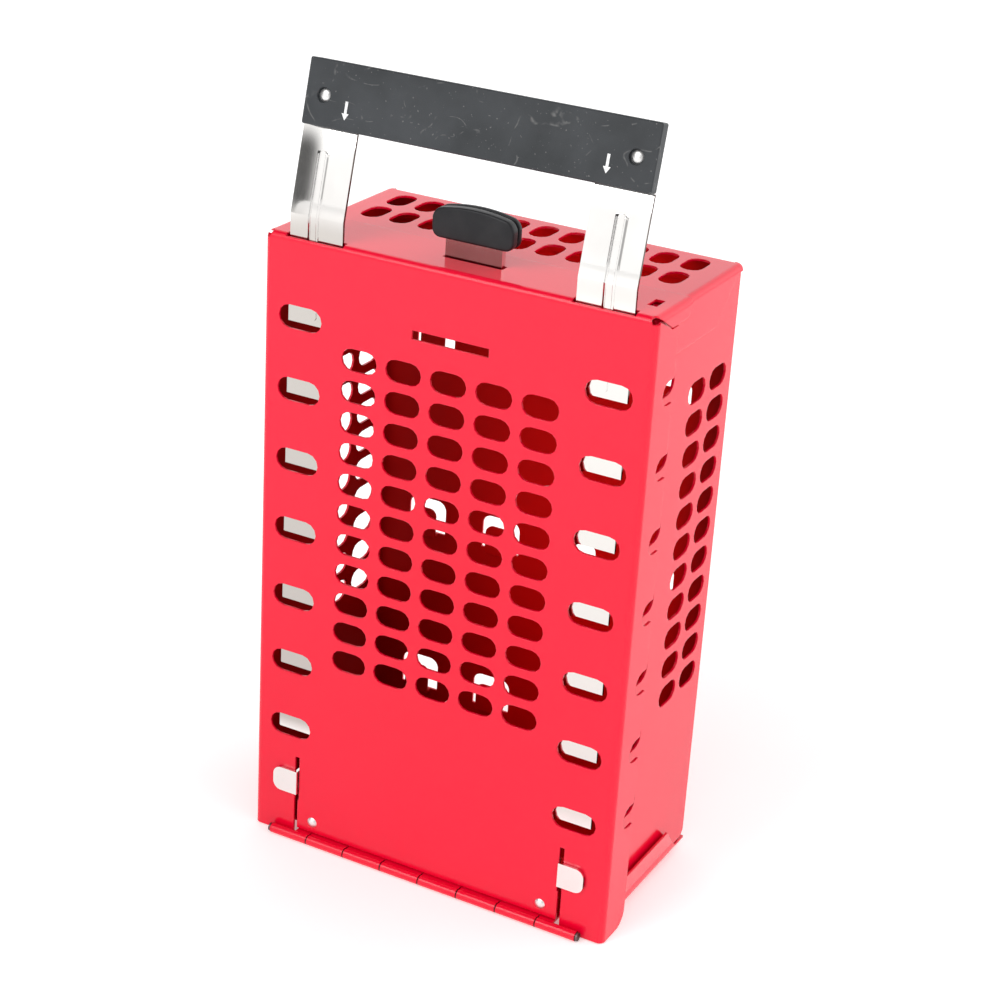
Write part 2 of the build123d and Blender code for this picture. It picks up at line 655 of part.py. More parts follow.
def hinge_pin():
    """Pin through all knuckles, with peened ends."""
    pin = rod_x(KNUCKLE_BORE_RADIUS - PIN_CLEARANCE, -BARREL_HALF, BARREL_HALF, AXIS_Y, AXIS_Z)
    for low in (-BARREL_HALF - PIN_HEAD, BARREL_HALF):
        pin += rod_x(PIN_HEAD_RADIUS, low, low + PIN_HEAD, AXIS_Y, AXIS_Z)
    return pin


def domed_rivet(shank_radius, head_radius, head, grip):
    """Rivet along Z with its domed head on top, its grip below zero and a flat tail."""
    sphere_radius = (head_radius**2 + head**2) / (2 * head)
    dome = Pos(0, 0, head - sphere_radius) * Sphere(sphere_radius)
    dome &= Pos(0, 0, head / 2) * Box(2 * head_radius, 2 * head_radius, head)
    shank = Pos(0, 0, -grip / 2) * Cylinder(shank_radius, grip)
    tail_height = 0.8 * head
    tail = Pos(0, 0, -grip - tail_height / 2) * Cylinder(0.85 * head_radius, tail_height)
    return dome + shank + tail


def cover_rivet(x):
    """Rivet through the cover's foot and its hinge leaf."""
    rivet = domed_rivet(RIVET_SHANK_RADIUS, RIVET_HEAD_RADIUS, RIVET_HEAD, 2 * SHEET)
    return Pos(x, FRONT, BASE_UNDER + COVER_RIVET_HEIGHT) * Rot(90, 0, 0) * rivet


def base_rivet(x):
    """Rivet through the hinge leaf and the base panel, head down."""
    rivet = domed_rivet(RIVET_SHANK_RADIUS, RIVET_HEAD_RADIUS, RIVET_HEAD, 2 * SHEET)
    return Pos(x, FRONT + BASE_RIVET_FROM_FRONT, BASE_UNDER - SHEET) * Rot(180, 0, 0) * rivet


def lock_bar():
    """Right lock bar: notched edge, embossed rib, leaning top and a tongue through the cover."""
    top_run = GRIP_ABOVE_KINK + HANDLE_HEIGHT - HANDLE_BAR_COVER
    bar = bent_strip(0, BAR_SHEET, BAR_INNER_X, BAR_OUTER_X, BAR_BOTTOM, top_run)
    low_y = BAR_FRONT - SHEET
    high_y = BAR_FRONT + BAR_SHEET + SHEET

    notch_inner = SLOT_X - SLOT_LENGTH / 2
    notch_tops = [z - NOTCH_DROP for z in slot_heights()]
    for top in notch_tops:
        notch = block(notch_inner, BAR_OUTER_X + BAR_WIDTH, low_y, high_y, top - NOTCH_HEIGHT, top)
        bar -= fillet(edges_on(notch, Axis.Y, x=notch_inner, z=top), NOTCH_CORNER)
    foot_x = BAR_INNER_X + BAR_FOOT_WIDTH
    bar -= block(foot_x, BAR_OUTER_X + SHEET, low_y, high_y, BAR_BOTTOM - SHEET, notch_tops[0] - SHEET)

    rib_low = notch_tops[-1] + RIB_ABOVE_NOTCH
    rib_half = RIB_WIDTH / 2
    rib_run = GRIP_ABOVE_KINK - RIB_BELOW_GRIP
    rib_high = KINK_Z + rib_run * math.cos(LEAN_RADIANS)
    rib_middle = Pos(RIB_X, (rib_low + rib_high) / 2)
    rib_outline = rib_middle * Rot(0, 0, 90) * SlotOverall(rib_high - rib_low, RIB_WIDTH)
    rib_prism = along_y(rib_outline, low_y, high_y + GRIP_ABOVE_KINK)
    rib_sides = (RIB_X - rib_half, RIB_X + rib_half)
    ridge = bent_strip(-RIB_DEPTH, 0, *rib_sides, rib_low, GRIP_ABOVE_KINK)
    groove = bent_strip(BAR_SHEET - RIB_DEPTH, BAR_SHEET, *rib_sides, rib_low, GRIP_ABOVE_KINK)
    bar = bar + (ridge & rib_prism) - (groove & rib_prism)

    web_x = SLIT_X - BAR_SHEET / 2
    tongue_front = FRONT - TONGUE_STANDOFF - BAR_SHEET
    web = block(web_x, web_x + BAR_SHEET, tongue_front, BAR_FRONT + BAR_SHEET, TONGUE_BOTTOM, TONGUE_TOP)
    bridge = block(foot_x - SHEET, web_x, BAR_FRONT, BAR_FRONT + BAR_SHEET, TONGUE_BOTTOM, TONGUE_TOP)
    tongue_end = SLIT_X + TONGUE_REACH
    tongue = block(web_x, tongue_end, tongue_front, FRONT - TONGUE_STANDOFF, TONGUE_BOTTOM, TONGUE_TOP)
    tongue = fillet(edges_on(tongue, Axis.Y, x=tongue_end), TONGUE_CORNER)
    bar = bar + bridge + web + tongue

    inside = HANDLE_HALF - HANDLE_BAR_COVER
    bar -= HANDLE_FRAME * block(inside, inside + BAR_WIDTH, -SHEET, 2 * BAR_SHEET, 0, HANDLE_HEIGHT)
    rivet_hole = rod_y(
        HANDLE_RIVET_SHANK_RADIUS, -SHEET, BAR_SHEET + SHEET, HANDLE_RIVET_X, HANDLE_RIVET_HEIGHT
    )
    return bar - HANDLE_FRAME * rivet_hole


def handle_half(depth_low, depth_high, half_length, recess_low, recess_high):
    """Half of the handle in its own frame, with pockets for the bars and seats for the rivets."""
    half = block(-half_length, half_length, depth_low, depth_high, 0, HANDLE_HEIGHT)
    half = fillet(half.edges().filter_by(Axis.Y), HANDLE_CORNER)
    outside = depth_low if depth_low < 0 else depth_high
    rim = [edge for edge in half.edges() if abs(edge.center().Y - outside) < 0.01]
    half = chamfer(rim, HANDLE_EDGE)
    pocket_outer = HANDLE_HALF - HANDLE_BAR_COVER
    pocket_top = HANDLE_HEIGHT - HANDLE_BAR_COVER
    cutters = both_sides(BAR_INNER_X, pocket_outer, 0, BAR_SHEET, -SHEET, pocket_top)
    for x in (-HANDLE_RIVET_X, HANDLE_RIVET_X):
        cutters.append(
            rod_y(HANDLE_RIVET_SHANK_RADIUS, depth_low - SHEET, depth_high + SHEET, x, HANDLE_RIVET_HEIGHT)
        )
        cutters.append(rod_y(HANDLE_RIVET_RECESS_RADIUS, recess_low, recess_high, x, HANDLE_RIVET_HEIGHT))
    return half - cutters


def handle_front():
    """Front half of the handle."""
    front = BAR_SHEET / 2 - HANDLE_FRONT_THICKNESS
    half = handle_half(front, BAR_SHEET / 2, HANDLE_HALF, front - SHEET, front + HANDLE_RIVET_RECESS)
    return HANDLE_FRAME * half


def handle_rear():
    """Rear half of the handle, a little shorter than the front."""
    back = BAR_SHEET / 2 + HANDLE_REAR_THICKNESS
    half_length = HANDLE_HALF - HANDLE_REAR_INSET
    half = handle_half(BAR_SHEET / 2, back, half_length, back - HANDLE_RIVET_RECESS, back + SHEET)
    return HANDLE_FRAME * half


def handle_rivet(x):
    """Rivet that clamps the two halves and the bar, sunk at both ends."""
    total = HANDLE_FRONT_THICKNESS + HANDLE_REAR_THICKNESS
    grip = total - 2 * HANDLE_RIVET_RECESS
    rivet = domed_rivet(HANDLE_RIVET_SHANK_RADIUS, HANDLE_RIVET_HEAD_RADIUS, HANDLE_RIVET_HEAD, grip)
    seat = BAR_SHEET / 2 - HANDLE_FRONT_THICKNESS + HANDLE_RIVET_RECESS
    return HANDLE_FRAME * Pos(x, seat, HANDLE_RIVET_HEIGHT) * Rot(90, 0, 0) * rivet


def latch_strip():
    """Channel that slides in the guide, with a window over the tongue of the top panel."""
    half = LATCH_WIDTH / 2
    back = LATCH_FRONT + LATCH_DEPTH
    head_z = COVER_TOP + LATCH_HEAD_ABOVE_TOP
    strip = block(-half, half, LATCH_FRONT, back, LATCH_FOOT_Z, head_z)
    hollow_half = half - LATCH_SHEET
    strip -= block(-hollow_half, hollow_half, LATCH_FRONT + LATCH_SHEET, back + SHEET, LATCH_FOOT_Z, head_z)
    window_half = LATCH_WINDOW_WIDTH / 2
    window_low = BODY_TOP - SHEET - LATCH_TRAVEL - LATCH_WINDOW_CLEARANCE
    window_high = BODY_TOP + LATCH_WINDOW_CLEARANCE / 2
    strip -= block(-window_half, window_half, LATCH_FRONT - SHEET, back, window_low, window_high)
    return strip


def latch_guide():
    """Bracket inside the cover that carries the foot of the latch strip."""
    inner_half = LATCH_WIDTH / 2 + GUIDE_CLEARANCE
    outer_half = inner_half + SHEET
    guide_back = LATCH_FRONT + LATCH_DEPTH + GUIDE_CLEARANCE + SHEET
    low = LATCH_FOOT_Z - SHEET
    high = low + GUIDE_HEIGHT
    guide = block(-outer_half, outer_half, COVER_BACK, guide_back, low, high)
    guide -= block(-inner_half, inner_half, COVER_BACK + SHEET, guide_back - SHEET, LATCH_FOOT_Z, high + SHEET)
    mouth_half = inner_half - GUIDE_LIP
    guide -= block(-mouth_half, mouth_half, guide_back - 2 * SHEET, guide_back + SHEET, LATCH_FOOT_Z, high + SHEET)
    lip_back = LATCH_FRONT - GUIDE_CLEARANCE
    guide += both_sides(mouth_half, inner_half, lip_back - SHEET, lip_back, LATCH_FOOT_Z, high)
    return guide


def latch_grip():
    """Rubber pull over the head of the strip, with a crowned top and a groove round it."""
    half = PULL_WIDTH / 2
    low = COVER_TOP + PULL_ABOVE_TOP
    high = low + PULL_HEIGHT
    front = LATCH_FRONT + LATCH_DEPTH / 2 - PULL_THICKNESS / 2
    back = front + PULL_THICKNESS
    shoulder = high - PULL_CROWN
    face = make_face(
        [
            Line((-half, low), (half, low)),
            Line((half, low), (half, shoulder)),
            ThreePointArc((half, shoulder), (0, high), (-half, shoulder)),
            Line((-half, shoulder), (-half, low)),
        ]
    )
    face = fillet(face.vertices(), PULL_CORNER)
    grip = along_y(face, front, back)
    rim = [edge for edge in grip.edges() if abs(edge.center().Y - front) < 0.01]
    rim += [edge for edge in grip.edges() if abs(edge.center().Y - back) < 0.01]
    grip = chamfer(rim, PULL_EDGE)
    groove_back = back - PULL_GROOVE_FROM_REAR
    groove = along_y(face, groove_back - PULL_GROOVE_WIDTH, groove_back)
    groove -= along_y(offset(face, -PULL_GROOVE), groove_back - PULL_GROOVE_WIDTH, groove_back)
    return grip - groove - latch_strip()


def pair(name, right):
    """A right-hand piece and its mirror image, under their names."""
    return {name + "_right": right, name + "_left": mirror(right, Plane.YZ)}


def model():
    """Every piece of the box under its name."""
    pieces = {
        "back_and_sides": back_and_sides(),
        "top_panel": top_panel(),
        "bottom_panel": bottom_panel(),
        "body_hinge_leaf": body_hinge_leaf(),
        "hinge_pin": hinge_pin(),
        "front_cover": front_cover(),
        "cover_hinge_leaf": cover_hinge_leaf(),
        "latch_guide": latch_guide(),
        "handle_front": handle_front(),
        "handle_rear": handle_rear(),
        "latch_strip": latch_strip(),
        "latch_grip": latch_grip(),
    }
    pieces.update(pair("base_rivet", base_rivet(RIVET_X)))
    pieces.update(pair("cover_rivet", cover_rivet(RIVET_X)))
    pieces.update(pair("lock_bar", lock_bar()))
    pieces.update(pair("handle_rivet", handle_rivet(HANDLE_RIVET_X)))
    return pieces


def main():
    os.makedirs("parts", exist_ok=True)
    for name, solid in model().items():
        export_step(solid, os.path.join("parts", name + ".step"))


if __name__ == "__main__":
    main()
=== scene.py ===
"""Studio scene of a perforated group lockout box with a hinged cover, padlock bars and a pull-up latch."""

import json
import logging
import math
from dataclasses import dataclass, field
from enum import Enum
from typing import Any, Sequence

import bmesh
import bpy
from mathutils import Matrix, Vector

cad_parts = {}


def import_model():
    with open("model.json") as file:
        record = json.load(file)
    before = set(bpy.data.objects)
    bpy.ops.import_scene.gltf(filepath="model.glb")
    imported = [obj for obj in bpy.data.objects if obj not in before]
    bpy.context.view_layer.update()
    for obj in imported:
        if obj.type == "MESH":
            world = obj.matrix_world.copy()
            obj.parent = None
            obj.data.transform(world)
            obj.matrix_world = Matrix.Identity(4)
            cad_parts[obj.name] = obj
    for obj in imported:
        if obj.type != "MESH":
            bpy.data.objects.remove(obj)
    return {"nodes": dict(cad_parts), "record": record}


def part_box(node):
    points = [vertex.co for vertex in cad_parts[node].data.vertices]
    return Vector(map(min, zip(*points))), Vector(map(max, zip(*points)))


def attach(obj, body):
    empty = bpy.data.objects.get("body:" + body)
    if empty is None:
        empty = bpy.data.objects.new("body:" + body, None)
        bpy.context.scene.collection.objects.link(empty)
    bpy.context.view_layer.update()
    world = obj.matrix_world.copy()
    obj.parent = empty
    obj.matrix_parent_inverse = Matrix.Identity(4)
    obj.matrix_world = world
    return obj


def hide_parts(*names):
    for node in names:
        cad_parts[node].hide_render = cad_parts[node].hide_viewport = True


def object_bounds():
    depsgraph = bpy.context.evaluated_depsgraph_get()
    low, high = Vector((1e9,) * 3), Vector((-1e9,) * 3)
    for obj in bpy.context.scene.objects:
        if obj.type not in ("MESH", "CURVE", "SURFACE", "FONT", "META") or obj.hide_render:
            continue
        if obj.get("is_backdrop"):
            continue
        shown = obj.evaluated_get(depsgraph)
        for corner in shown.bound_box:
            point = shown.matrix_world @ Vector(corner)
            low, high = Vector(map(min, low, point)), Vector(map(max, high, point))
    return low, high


LOGGER = logging.getLogger("lockout_box")
MM = 0.001

# Values between which most of a cloud pattern lies, and the middle of them
CLOUD_RANGE = (0.2, 0.8)
CLOUD_MIDDLE = 0.5
# Rays that each point sends out to find the edges near it
EDGE_SAMPLES = 6
# Share of the X axis in a face's direction between which the face counts as looking sideways
SIDEWAYS = (0.96, 0.99)
# Angles in degrees from which an edge of a new piece is rounded and from which its shading stays sharp
ROUNDED_ANGLE = 30.0
SHARP_ANGLE = 35.0
# Quarter of a turn in degrees
QUARTER = 90.0
BLACK = (0.0, 0.0, 0.0)
WHITE = (1.0, 1.0, 1.0)

Colour = tuple[float, float, float]
# First and last value of a range, which may also go down
Span = tuple[float, float]
# Axis of a soft limit and the values along it where it starts and ends
Limit = tuple[str, float, float]
# Values along X, Y and Z under these letters
Axes = dict[str, bpy.types.NodeSocket]


class Body(Enum):
    """Rigid bodies that the new pieces ride on."""

    HANDLE = "handle"
    LATCH = "latch"


class Slot(Enum):
    """Material slots of the record."""

    RED_PAINT = "red_paint"
    PLATED_STEEL = "plated_steel"
    BAR_STEEL = "bar_steel"
    HANDLE_PLASTIC = "handle_plastic"
    GRIP_RUBBER = "grip_rubber"


def with_alpha(colour: Colour) -> tuple[float, float, float, float]:
    """Return a colour as a shader socket holds it."""
    return (*colour, 1.0)


def smooth_rise(
    tree: bpy.types.NodeTree, source: bpy.types.NodeSocket, start: float, end: float
) -> bpy.types.NodeSocket:
    """Return a smooth rise from 0 to 1 while a value goes from start to end.

    Args:
        tree: Node tree that it goes into.
        source: The value.
        start: Value at which the rise starts.
        end: Value at which it ends.

    Returns:
        The result output of a map range node.
    """
    node = tree.nodes.new("ShaderNodeMapRange")
    node.interpolation_type = "SMOOTHSTEP"
    node.inputs["From Min"].default_value = start
    node.inputs["From Max"].default_value = end
    tree.links.new(source, node.inputs["Value"])
    return node.outputs["Result"]


def product(tree: bpy.types.NodeTree, *sources: bpy.types.NodeSocket) -> bpy.types.NodeSocket:
    """Return the product of several values.

    Args:
        tree: Node tree that it goes into.
        sources: The values.

    Returns:
        The value output of the last of the nodes.
    """
    total = sources[0]
    for source in sources[1:]:
        node = tree.nodes.new("ShaderNodeMath")
        node.operation = "MULTIPLY"
        tree.links.new(total, node.inputs[0])
        tree.links.new(source, node.inputs[1])
        total = node.outputs["Value"]
    return total


@dataclass(frozen=True)
class Cloud:
    """Soft irregular pattern.

    Attributes:
        scale: Waves per metre.
        detail: Number of octaves.
    """

    scale: float
    detail: float


@dataclass
class NodeMaterial:
    """Small builder for one procedural material.

    Attributes:
        name: Name of the material.
        material: The material.
        tree: Its node tree.
        shader: Its shader.
        coordinates: Object coordinates.
    """

    name: str
    material: bpy.types.Material = field(init=False)
    tree: bpy.types.NodeTree = field(init=False)
    shader: bpy.types.Node = field(init=False)
    coordinates: bpy.types.NodeSocket = field(init=False)

    def __post_init__(self) -> None:
        """Make the material with an empty node tree, a shader and object coordinates."""
        self.material = bpy.data.materials.new(self.name)
        self.material.use_nodes = True
        self.tree = self.material.node_tree
        self.tree.nodes.clear()
        output = self.tree.nodes.new("ShaderNodeOutputMaterial")
        self.shader = self.tree.nodes.new("ShaderNodeBsdfPrincipled")
        self.join(self.shader.outputs["BSDF"], output.inputs["Surface"])
        self.coordinates = self.tree.nodes.new("ShaderNodeTexCoord").outputs["Object"]

    def join(self, source: bpy.types.NodeSocket, target: bpy.types.NodeSocket) -> None:
        """Link one socket to another."""
        self.tree.links.new(source, target)

    def set(self, **values: Any) -> None:
        """Set plain numbers and colours on the shader's own sockets, named with underscores for spaces."""
        for key, value in values.items():
            self.shader.inputs[key.replace("_", " ")].default_value = value

    def stretched(self, scale: Sequence[float]) -> bpy.types.NodeSocket:
        """Return object coordinates multiplied along each axis.

        Args:
            scale: Factor along X, Y and Z.

        Returns:
            The vector output of a mapping node.
        """
        mapping = self.tree.nodes.new("ShaderNodeMapping")
        mapping.inputs["Scale"].default_value = scale
        self.join(self.coordinates, mapping.inputs["Vector"])
        return mapping.outputs["Vector"]

    def noise(self, cloud: Cloud, vector: bpy.types.NodeSocket | None = None) -> bpy.types.NodeSocket:
        """Return a noise pattern.

        Args:
            cloud: Scale and detail of the pattern.
            vector: Coordinates, or None for plain object coordinates.

        Returns:
            The factor output of the noise.
        """
        node = self.tree.nodes.new("ShaderNodeTexNoise")
        node.inputs["Scale"].default_value = cloud.scale
        node.inputs["Detail"].default_value = cloud.detail
        self.join(vector or self.coordinates, node.inputs["Vector"])
        return node.outputs["Fac"]

    def ramp(self, source: bpy.types.NodeSocket, *stops: tuple[float, Colour]) -> bpy.types.NodeSocket:
        """Return a colour ramp driven by a pattern.

        Args:
            source: The pattern.
            stops: Place and colour of each stop.

        Returns:
            The colour output of the ramp.
        """
        node = self.tree.nodes.new("ShaderNodeValToRGB")
        elements = node.color_ramp.elements
        while len(elements) < len(stops):
            elements.new(CLOUD_MIDDLE)
        for element, (place, colour) in zip(elements, stops):
            element.position = place
            element.color = with_alpha(colour)
        self.join(source, node.inputs["Fac"])
        return node.outputs["Color"]

    def patchy(self, cloud: Cloud, stops: Span, first: Colour, second: Colour) -> bpy.types.NodeSocket:
        """Return soft patches of two colours, the first below the pattern's low stop."""
        low, high = stops
        return self.ramp(self.noise(cloud), (low, first), (high, second))

    def spread(self, source: bpy.types.NodeSocket, low: float, high: float) -> bpy.types.NodeSocket:
        """Return a pattern spread between two values.

        Args:
            source: The pattern.
            low: Value at its low end.
            high: Value at its high end.

        Returns:
            The result output of a map range node.
        """
        node = self.tree.nodes.new("ShaderNodeMapRange")
        node.inputs["From Min"].default_value, node.inputs["From Max"].default_value = CLOUD_RANGE
        node.inputs["To Min"].default_value = low
        node.inputs["To Max"].default_value = high
        self.join(source, node.inputs["Value"])
        return node.outputs["Result"]

    def axes(self) -> Axes:
        """Return the object coordinates as separate values.

        Returns:
            The places in metres along X, Y and Z under these letters.
        """
        node = self.tree.nodes.new("ShaderNodeSeparateXYZ")
        self.join(self.coordinates, node.inputs["Vector"])
        return {name: node.outputs[name] for name in "XYZ"}

    def rise(self, source: bpy.types.NodeSocket, start: float, end: float) -> bpy.types.NodeSocket:
        """Return a smooth rise from 0 to 1 while a value goes from start to end."""
        return smooth_rise(self.tree, source, start, end)

    def product(self, *sources: bpy.types.NodeSocket) -> bpy.types.NodeSocket:
        """Return the product of several values in this material."""
        return product(self.tree, *sources)

    def amount(self, source: bpy.types.NodeSocket) -> bpy.types.NodeSocket:
        """Return a value without its sign.

        Args:
            source: The value.

        Returns:
            The value output of a math node.
        """
        node = self.tree.nodes.new("ShaderNodeMath")
        node.operation = "ABSOLUTE"
        self.join(source, node.inputs[0])
        return node.outputs["Value"]

    def nearest(self, source: bpy.types.NodeSocket, start: float, pitch: float) -> bpy.types.NodeSocket:
        """Return the distance to the nearest of many evenly spaced places.

        Args:
            source: The value.
            start: The first place.
            pitch: Distance between the places.

        Returns:
            The value output of a math node.
        """
        shift = self.tree.nodes.new("ShaderNodeMath")
        shift.operation = "SUBTRACT"
        self.join(source, shift.inputs[0])
        shift.inputs[1].default_value = start
        node = self.tree.nodes.new("ShaderNodeMath")
        node.operation = "PINGPONG"
        self.join(shift.outputs["Value"], node.inputs[0])
        node.inputs[1].default_value = pitch / 2
        return node.outputs["Value"]

    def round_edges(self, radius: float) -> None:
        """Soften the shading of all edges, as a coat that flows round them does.

        Args:
            radius: Radius of the softened edges in metres.
        """
        node = self.tree.nodes.new("ShaderNodeBevel")
        node.samples = EDGE_SAMPLES
        node.inputs["Radius"].default_value = radius
        self.join(node.outputs["Normal"], self.shader.inputs["Normal"])

    def sideways(self) -> bpy.types.NodeSocket:
        """Return a value that is 1 on faces that look straight left or right, and 0 on others.

        Returns:
            The result output of a map range node.
        """
        normal = self.tree.nodes.new("ShaderNodeSeparateXYZ")
        geometry = self.tree.nodes.new("ShaderNodeNewGeometry")
        self.join(geometry.outputs["True Normal"], normal.inputs["Vector"])
        return self.rise(self.amount(normal.outputs["X"]), *SIDEWAYS)

    def mixed(
        self,
        share: bpy.types.NodeSocket,
        first: bpy.types.NodeSocket | Colour,
        second: bpy.types.NodeSocket | Colour,
    ) -> bpy.types.NodeSocket:
        """Return a mix of two colours, each a socket or plain numbers.

        Args:
            share: Share of the second colour.
            first: The first colour.
            second: The second colour.

        Returns:
            The result output of the mix.
        """
        node = self.tree.nodes.new("ShaderNodeMix")
        node.data_type = "RGBA"
        self.join(share, node.inputs["Factor"])
        for name, colour in (("A", first), ("B", second)):
            if isinstance(colour, tuple):
                node.inputs[name].default_value = with_alpha(colour)
            else:
                self.join(colour, node.inputs[name])
        return node.outputs["Result"]

    def bump(self, height: bpy.types.NodeSocket, distance: float) -> None:
        """Add a relief to the shader on top of any that it has.

        Args:
            height: Pattern of the relief.
            distance: Its height in metres.
        """
        node = self.tree.nodes.new("ShaderNodeBump")
        node.inputs["Distance"].default_value = distance
        self.join(height, node.inputs["Height"])
        for link in list(self.shader.inputs["Normal"].links):
            self.join(link.from_socket, node.inputs["Normal"])
        self.join(node.outputs["Normal"], self.shader.inputs["Normal"])


@dataclass(frozen=True)
class PowderCoat:
    """Gloss powder coat, with painted shade on the inner faces of the box and painted light on them right
    of the middle.

    Attributes:
        name: Name of the material.
        colour: Main colour of the coat.
        deep: Colour where the coat lies thicker.
        thick: Pattern of the thicker places.
        thick_stops: Values of that pattern at which the coat is thick and thin.
        inner: Colours on the inner faces of the box: painted shade near the sides and painted light right
            of the middle.
        inner_span: Places along X between which the first turns into the second.
        inner_end: Places along X between which it turns back again.
        gloss: Pattern of the roughness.
        roughness: Lowest and highest roughness.
        inner_roughness: Roughness on the inner faces of the box.
        shine: Share of the reflection on the outer and on the inner faces.
        index: Index of refraction.
        ripple: Pattern of the orange peel.
        peel: Height of the orange peel in metres.
        edge: Radius of the coat at the sheets' edges.
        half: Half the width between the inner faces of the side sheets.
        depth: Inner face of the front sheet and of the back sheet.
        height: Inner face of the bottom sheet and of the top sheet.
        blur: Distance over which the outer coat turns into the inner one.
        seams: First seam between the knuckles of the hinge and the distance between seams, or None.
        seam_shade: Painted shade in the thin gaps between the knuckles.
        seam_half: Distances from a seam's middle between which its colour comes up.
        seam_front: Places along Y between which the seams come up, so that only the knuckles have them.
    """

    name: str = "red_powder_coat"
    colour: Colour = (0.84, 0.0012, 0.032)
    deep: Colour = (0.79, 0.0008, 0.026)
    thick: Cloud = Cloud(9.0, 2.0)
    thick_stops: Span = (0.3, 0.7)
    # Painted shade on the inner faces, with painted light right of the middle
    inner: tuple[Colour, Colour] = ((0.40, 0.0, 0.0), (0.86, 0.0003, 0.001))
    inner_span: Span = (-75.0 * MM, 20.0 * MM)
    inner_end: Span = (74.0 * MM, 48.0 * MM)
    gloss: Cloud = Cloud(40.0, 3.0)
    roughness: Span = (0.10, 0.18)
    inner_roughness: float = 0.6
    shine: Span = (0.5, 0.12)
    index: float = 1.43
    ripple: Cloud = Cloud(700.0, 2.0)
    peel: float = 0.005 * MM
    edge: float = 0.5 * MM
    half: float = 76.0 * MM
    depth: Span = (-39.45 * MM, 43.85 * MM)
    height: Span = (4.6 * MM, 254.8 * MM)
    blur: float = 0.04 * MM
    seams: Span | None = None
    seam_shade: Colour = (0.10, 0.0, 0.002)
    seam_half: Span = (0.30 * MM, 0.22 * MM)
    seam_front: Span = (-40.2 * MM, -40.6 * MM)

    def inside(self, made: NodeMaterial) -> bpy.types.NodeSocket:
        """Return a value that is 1 inside the box and 0 outside.

        Args:
            made: The material that it goes into.

        Returns:
            The output of the last of its nodes.
        """
        axes = made.axes()
        ranges = (("X", (-self.half, self.half)), ("Y", self.depth), ("Z", self.height))
        walls = []
        for axis, (low, high) in ranges:
            walls.append(made.rise(axes[axis], low - self.blur, low + self.blur))
            walls.append(made.rise(axes[axis], high + self.blur, high - self.blur))
        return made.product(*walls)

    def outer(self, made: NodeMaterial) -> bpy.types.NodeSocket:
        """Return the colour of the outer faces, with painted shade in the seams of the hinge where it has
        them.

        Args:
            made: The material that it goes into.

        Returns:
            The output of the last of its nodes.
        """
        outer = made.patchy(self.thick, self.thick_stops, self.deep, self.colour)
        if self.seams is None:
            return outer
        axes = made.axes()
        # Painted shade in the gaps between the hinge knuckles
        near = made.rise(made.nearest(axes["X"], *self.seams), *self.seam_half)
        on_knuckles = made.rise(axes["Y"], *self.seam_front)
        return made.mixed(made.product(near, on_knuckles), outer, self.seam_shade)

    def make(self) -> bpy.types.Material:
        """Return the material.

        Returns:
            The finished material.
        """
        made = NodeMaterial(self.name)
        outer = self.outer(made)
        inside = self.inside(made)
        across = made.axes()["X"]
        # Painted light right of the middle of the inner faces, painted shade towards the sides
        lit = made.product(made.rise(across, *self.inner_span), made.rise(across, *self.inner_end))
        inner = made.mixed(lit, *self.inner)
        made.join(made.mixed(inside, outer, inner), made.shader.inputs["Base Color"])
        gloss = made.spread(made.noise(self.gloss), *self.roughness)
        rough = made.mixed(inside, gloss, (self.inner_roughness,) * 3)
        made.join(rough, made.shader.inputs["Roughness"])
        outer_shine, inner_shine = self.shine
        shine = made.mixed(inside, (outer_shine,) * 3, (inner_shine,) * 3)
        made.join(shine, made.shader.inputs["Specular IOR Level"])
        made.set(IOR=self.index)
        made.round_edges(self.edge)
        made.bump(made.noise(self.ripple), self.peel)
        return made.material


@dataclass(frozen=True)
class Turn:
    """Slight turn of a sheet's face out of its plane.

    Attributes:
        axis: Axis along which the face rises.
        span: Start and end of the rise along that axis.
        height: Height of the rise in metres.
        ranges: Axis, start and end of each soft limit of the turned area.
    """

    axis: str
    span: Span
    height: float
    ranges: tuple[Limit, ...] = ()


@dataclass(frozen=True)
class PressedRib:
    """Rib pressed into a lock bar, with a soft fillet along each edge.

    Attributes:
        middle: Place of its middle along X.
        half: Distance from its middle to the middle of each fillet.
        fillet: Half the width of a fillet.
        limit: Distances from the middle of a fillet between which it ends.
        heights: Heights of the left and of the right fillet.
        ends: Soft limits of the rib at its upper and lower end.
    """

    middle: float
    half: float = 2.1 * MM
    fillet: float = 0.7 * MM
    limit: Span = (0.9 * MM, 0.8 * MM)
    heights: Span = (0.85 * MM, 0.36 * MM)
    ends: tuple[Limit, ...] = (("Z", 289.4 * MM, 288.4 * MM), ("Z", 250.0 * MM, 252.0 * MM))

    def turns(self) -> list[Turn]:
        """Return the turns of the sheet's face along the rib.

        Returns:
            The turn along the left edge and the one along the right edge.
        """
        far, near = self.limit
        turns = []
        for way, height in zip((1, -1), self.heights):
            edge = self.middle - way * self.half
            span = (edge - way * self.fillet, edge + way * self.fillet)
            sides = (("X", edge - far, edge - near), ("X", edge + far, edge + near))
            turns.append(Turn(axis="X", span=span, height=height, ranges=(*sides, *self.ends)))
        return turns


@dataclass(frozen=True)
class BehindCoverShade:
    """Painted shade on the part of a strip that lies inside the cover, darker at the left.

    Attributes:
        top: Heights between which it comes up below the bright upper part.
        foot: Heights between which it comes up above the bright tongue at the foot.
        middle: Places along X between which its left colour turns into its right one.
        colours: Its painted shaded reflection colours at the left and at the right.
    """

    top: Span
    foot: Span
    middle: Span
    colours: tuple[Colour, Colour]


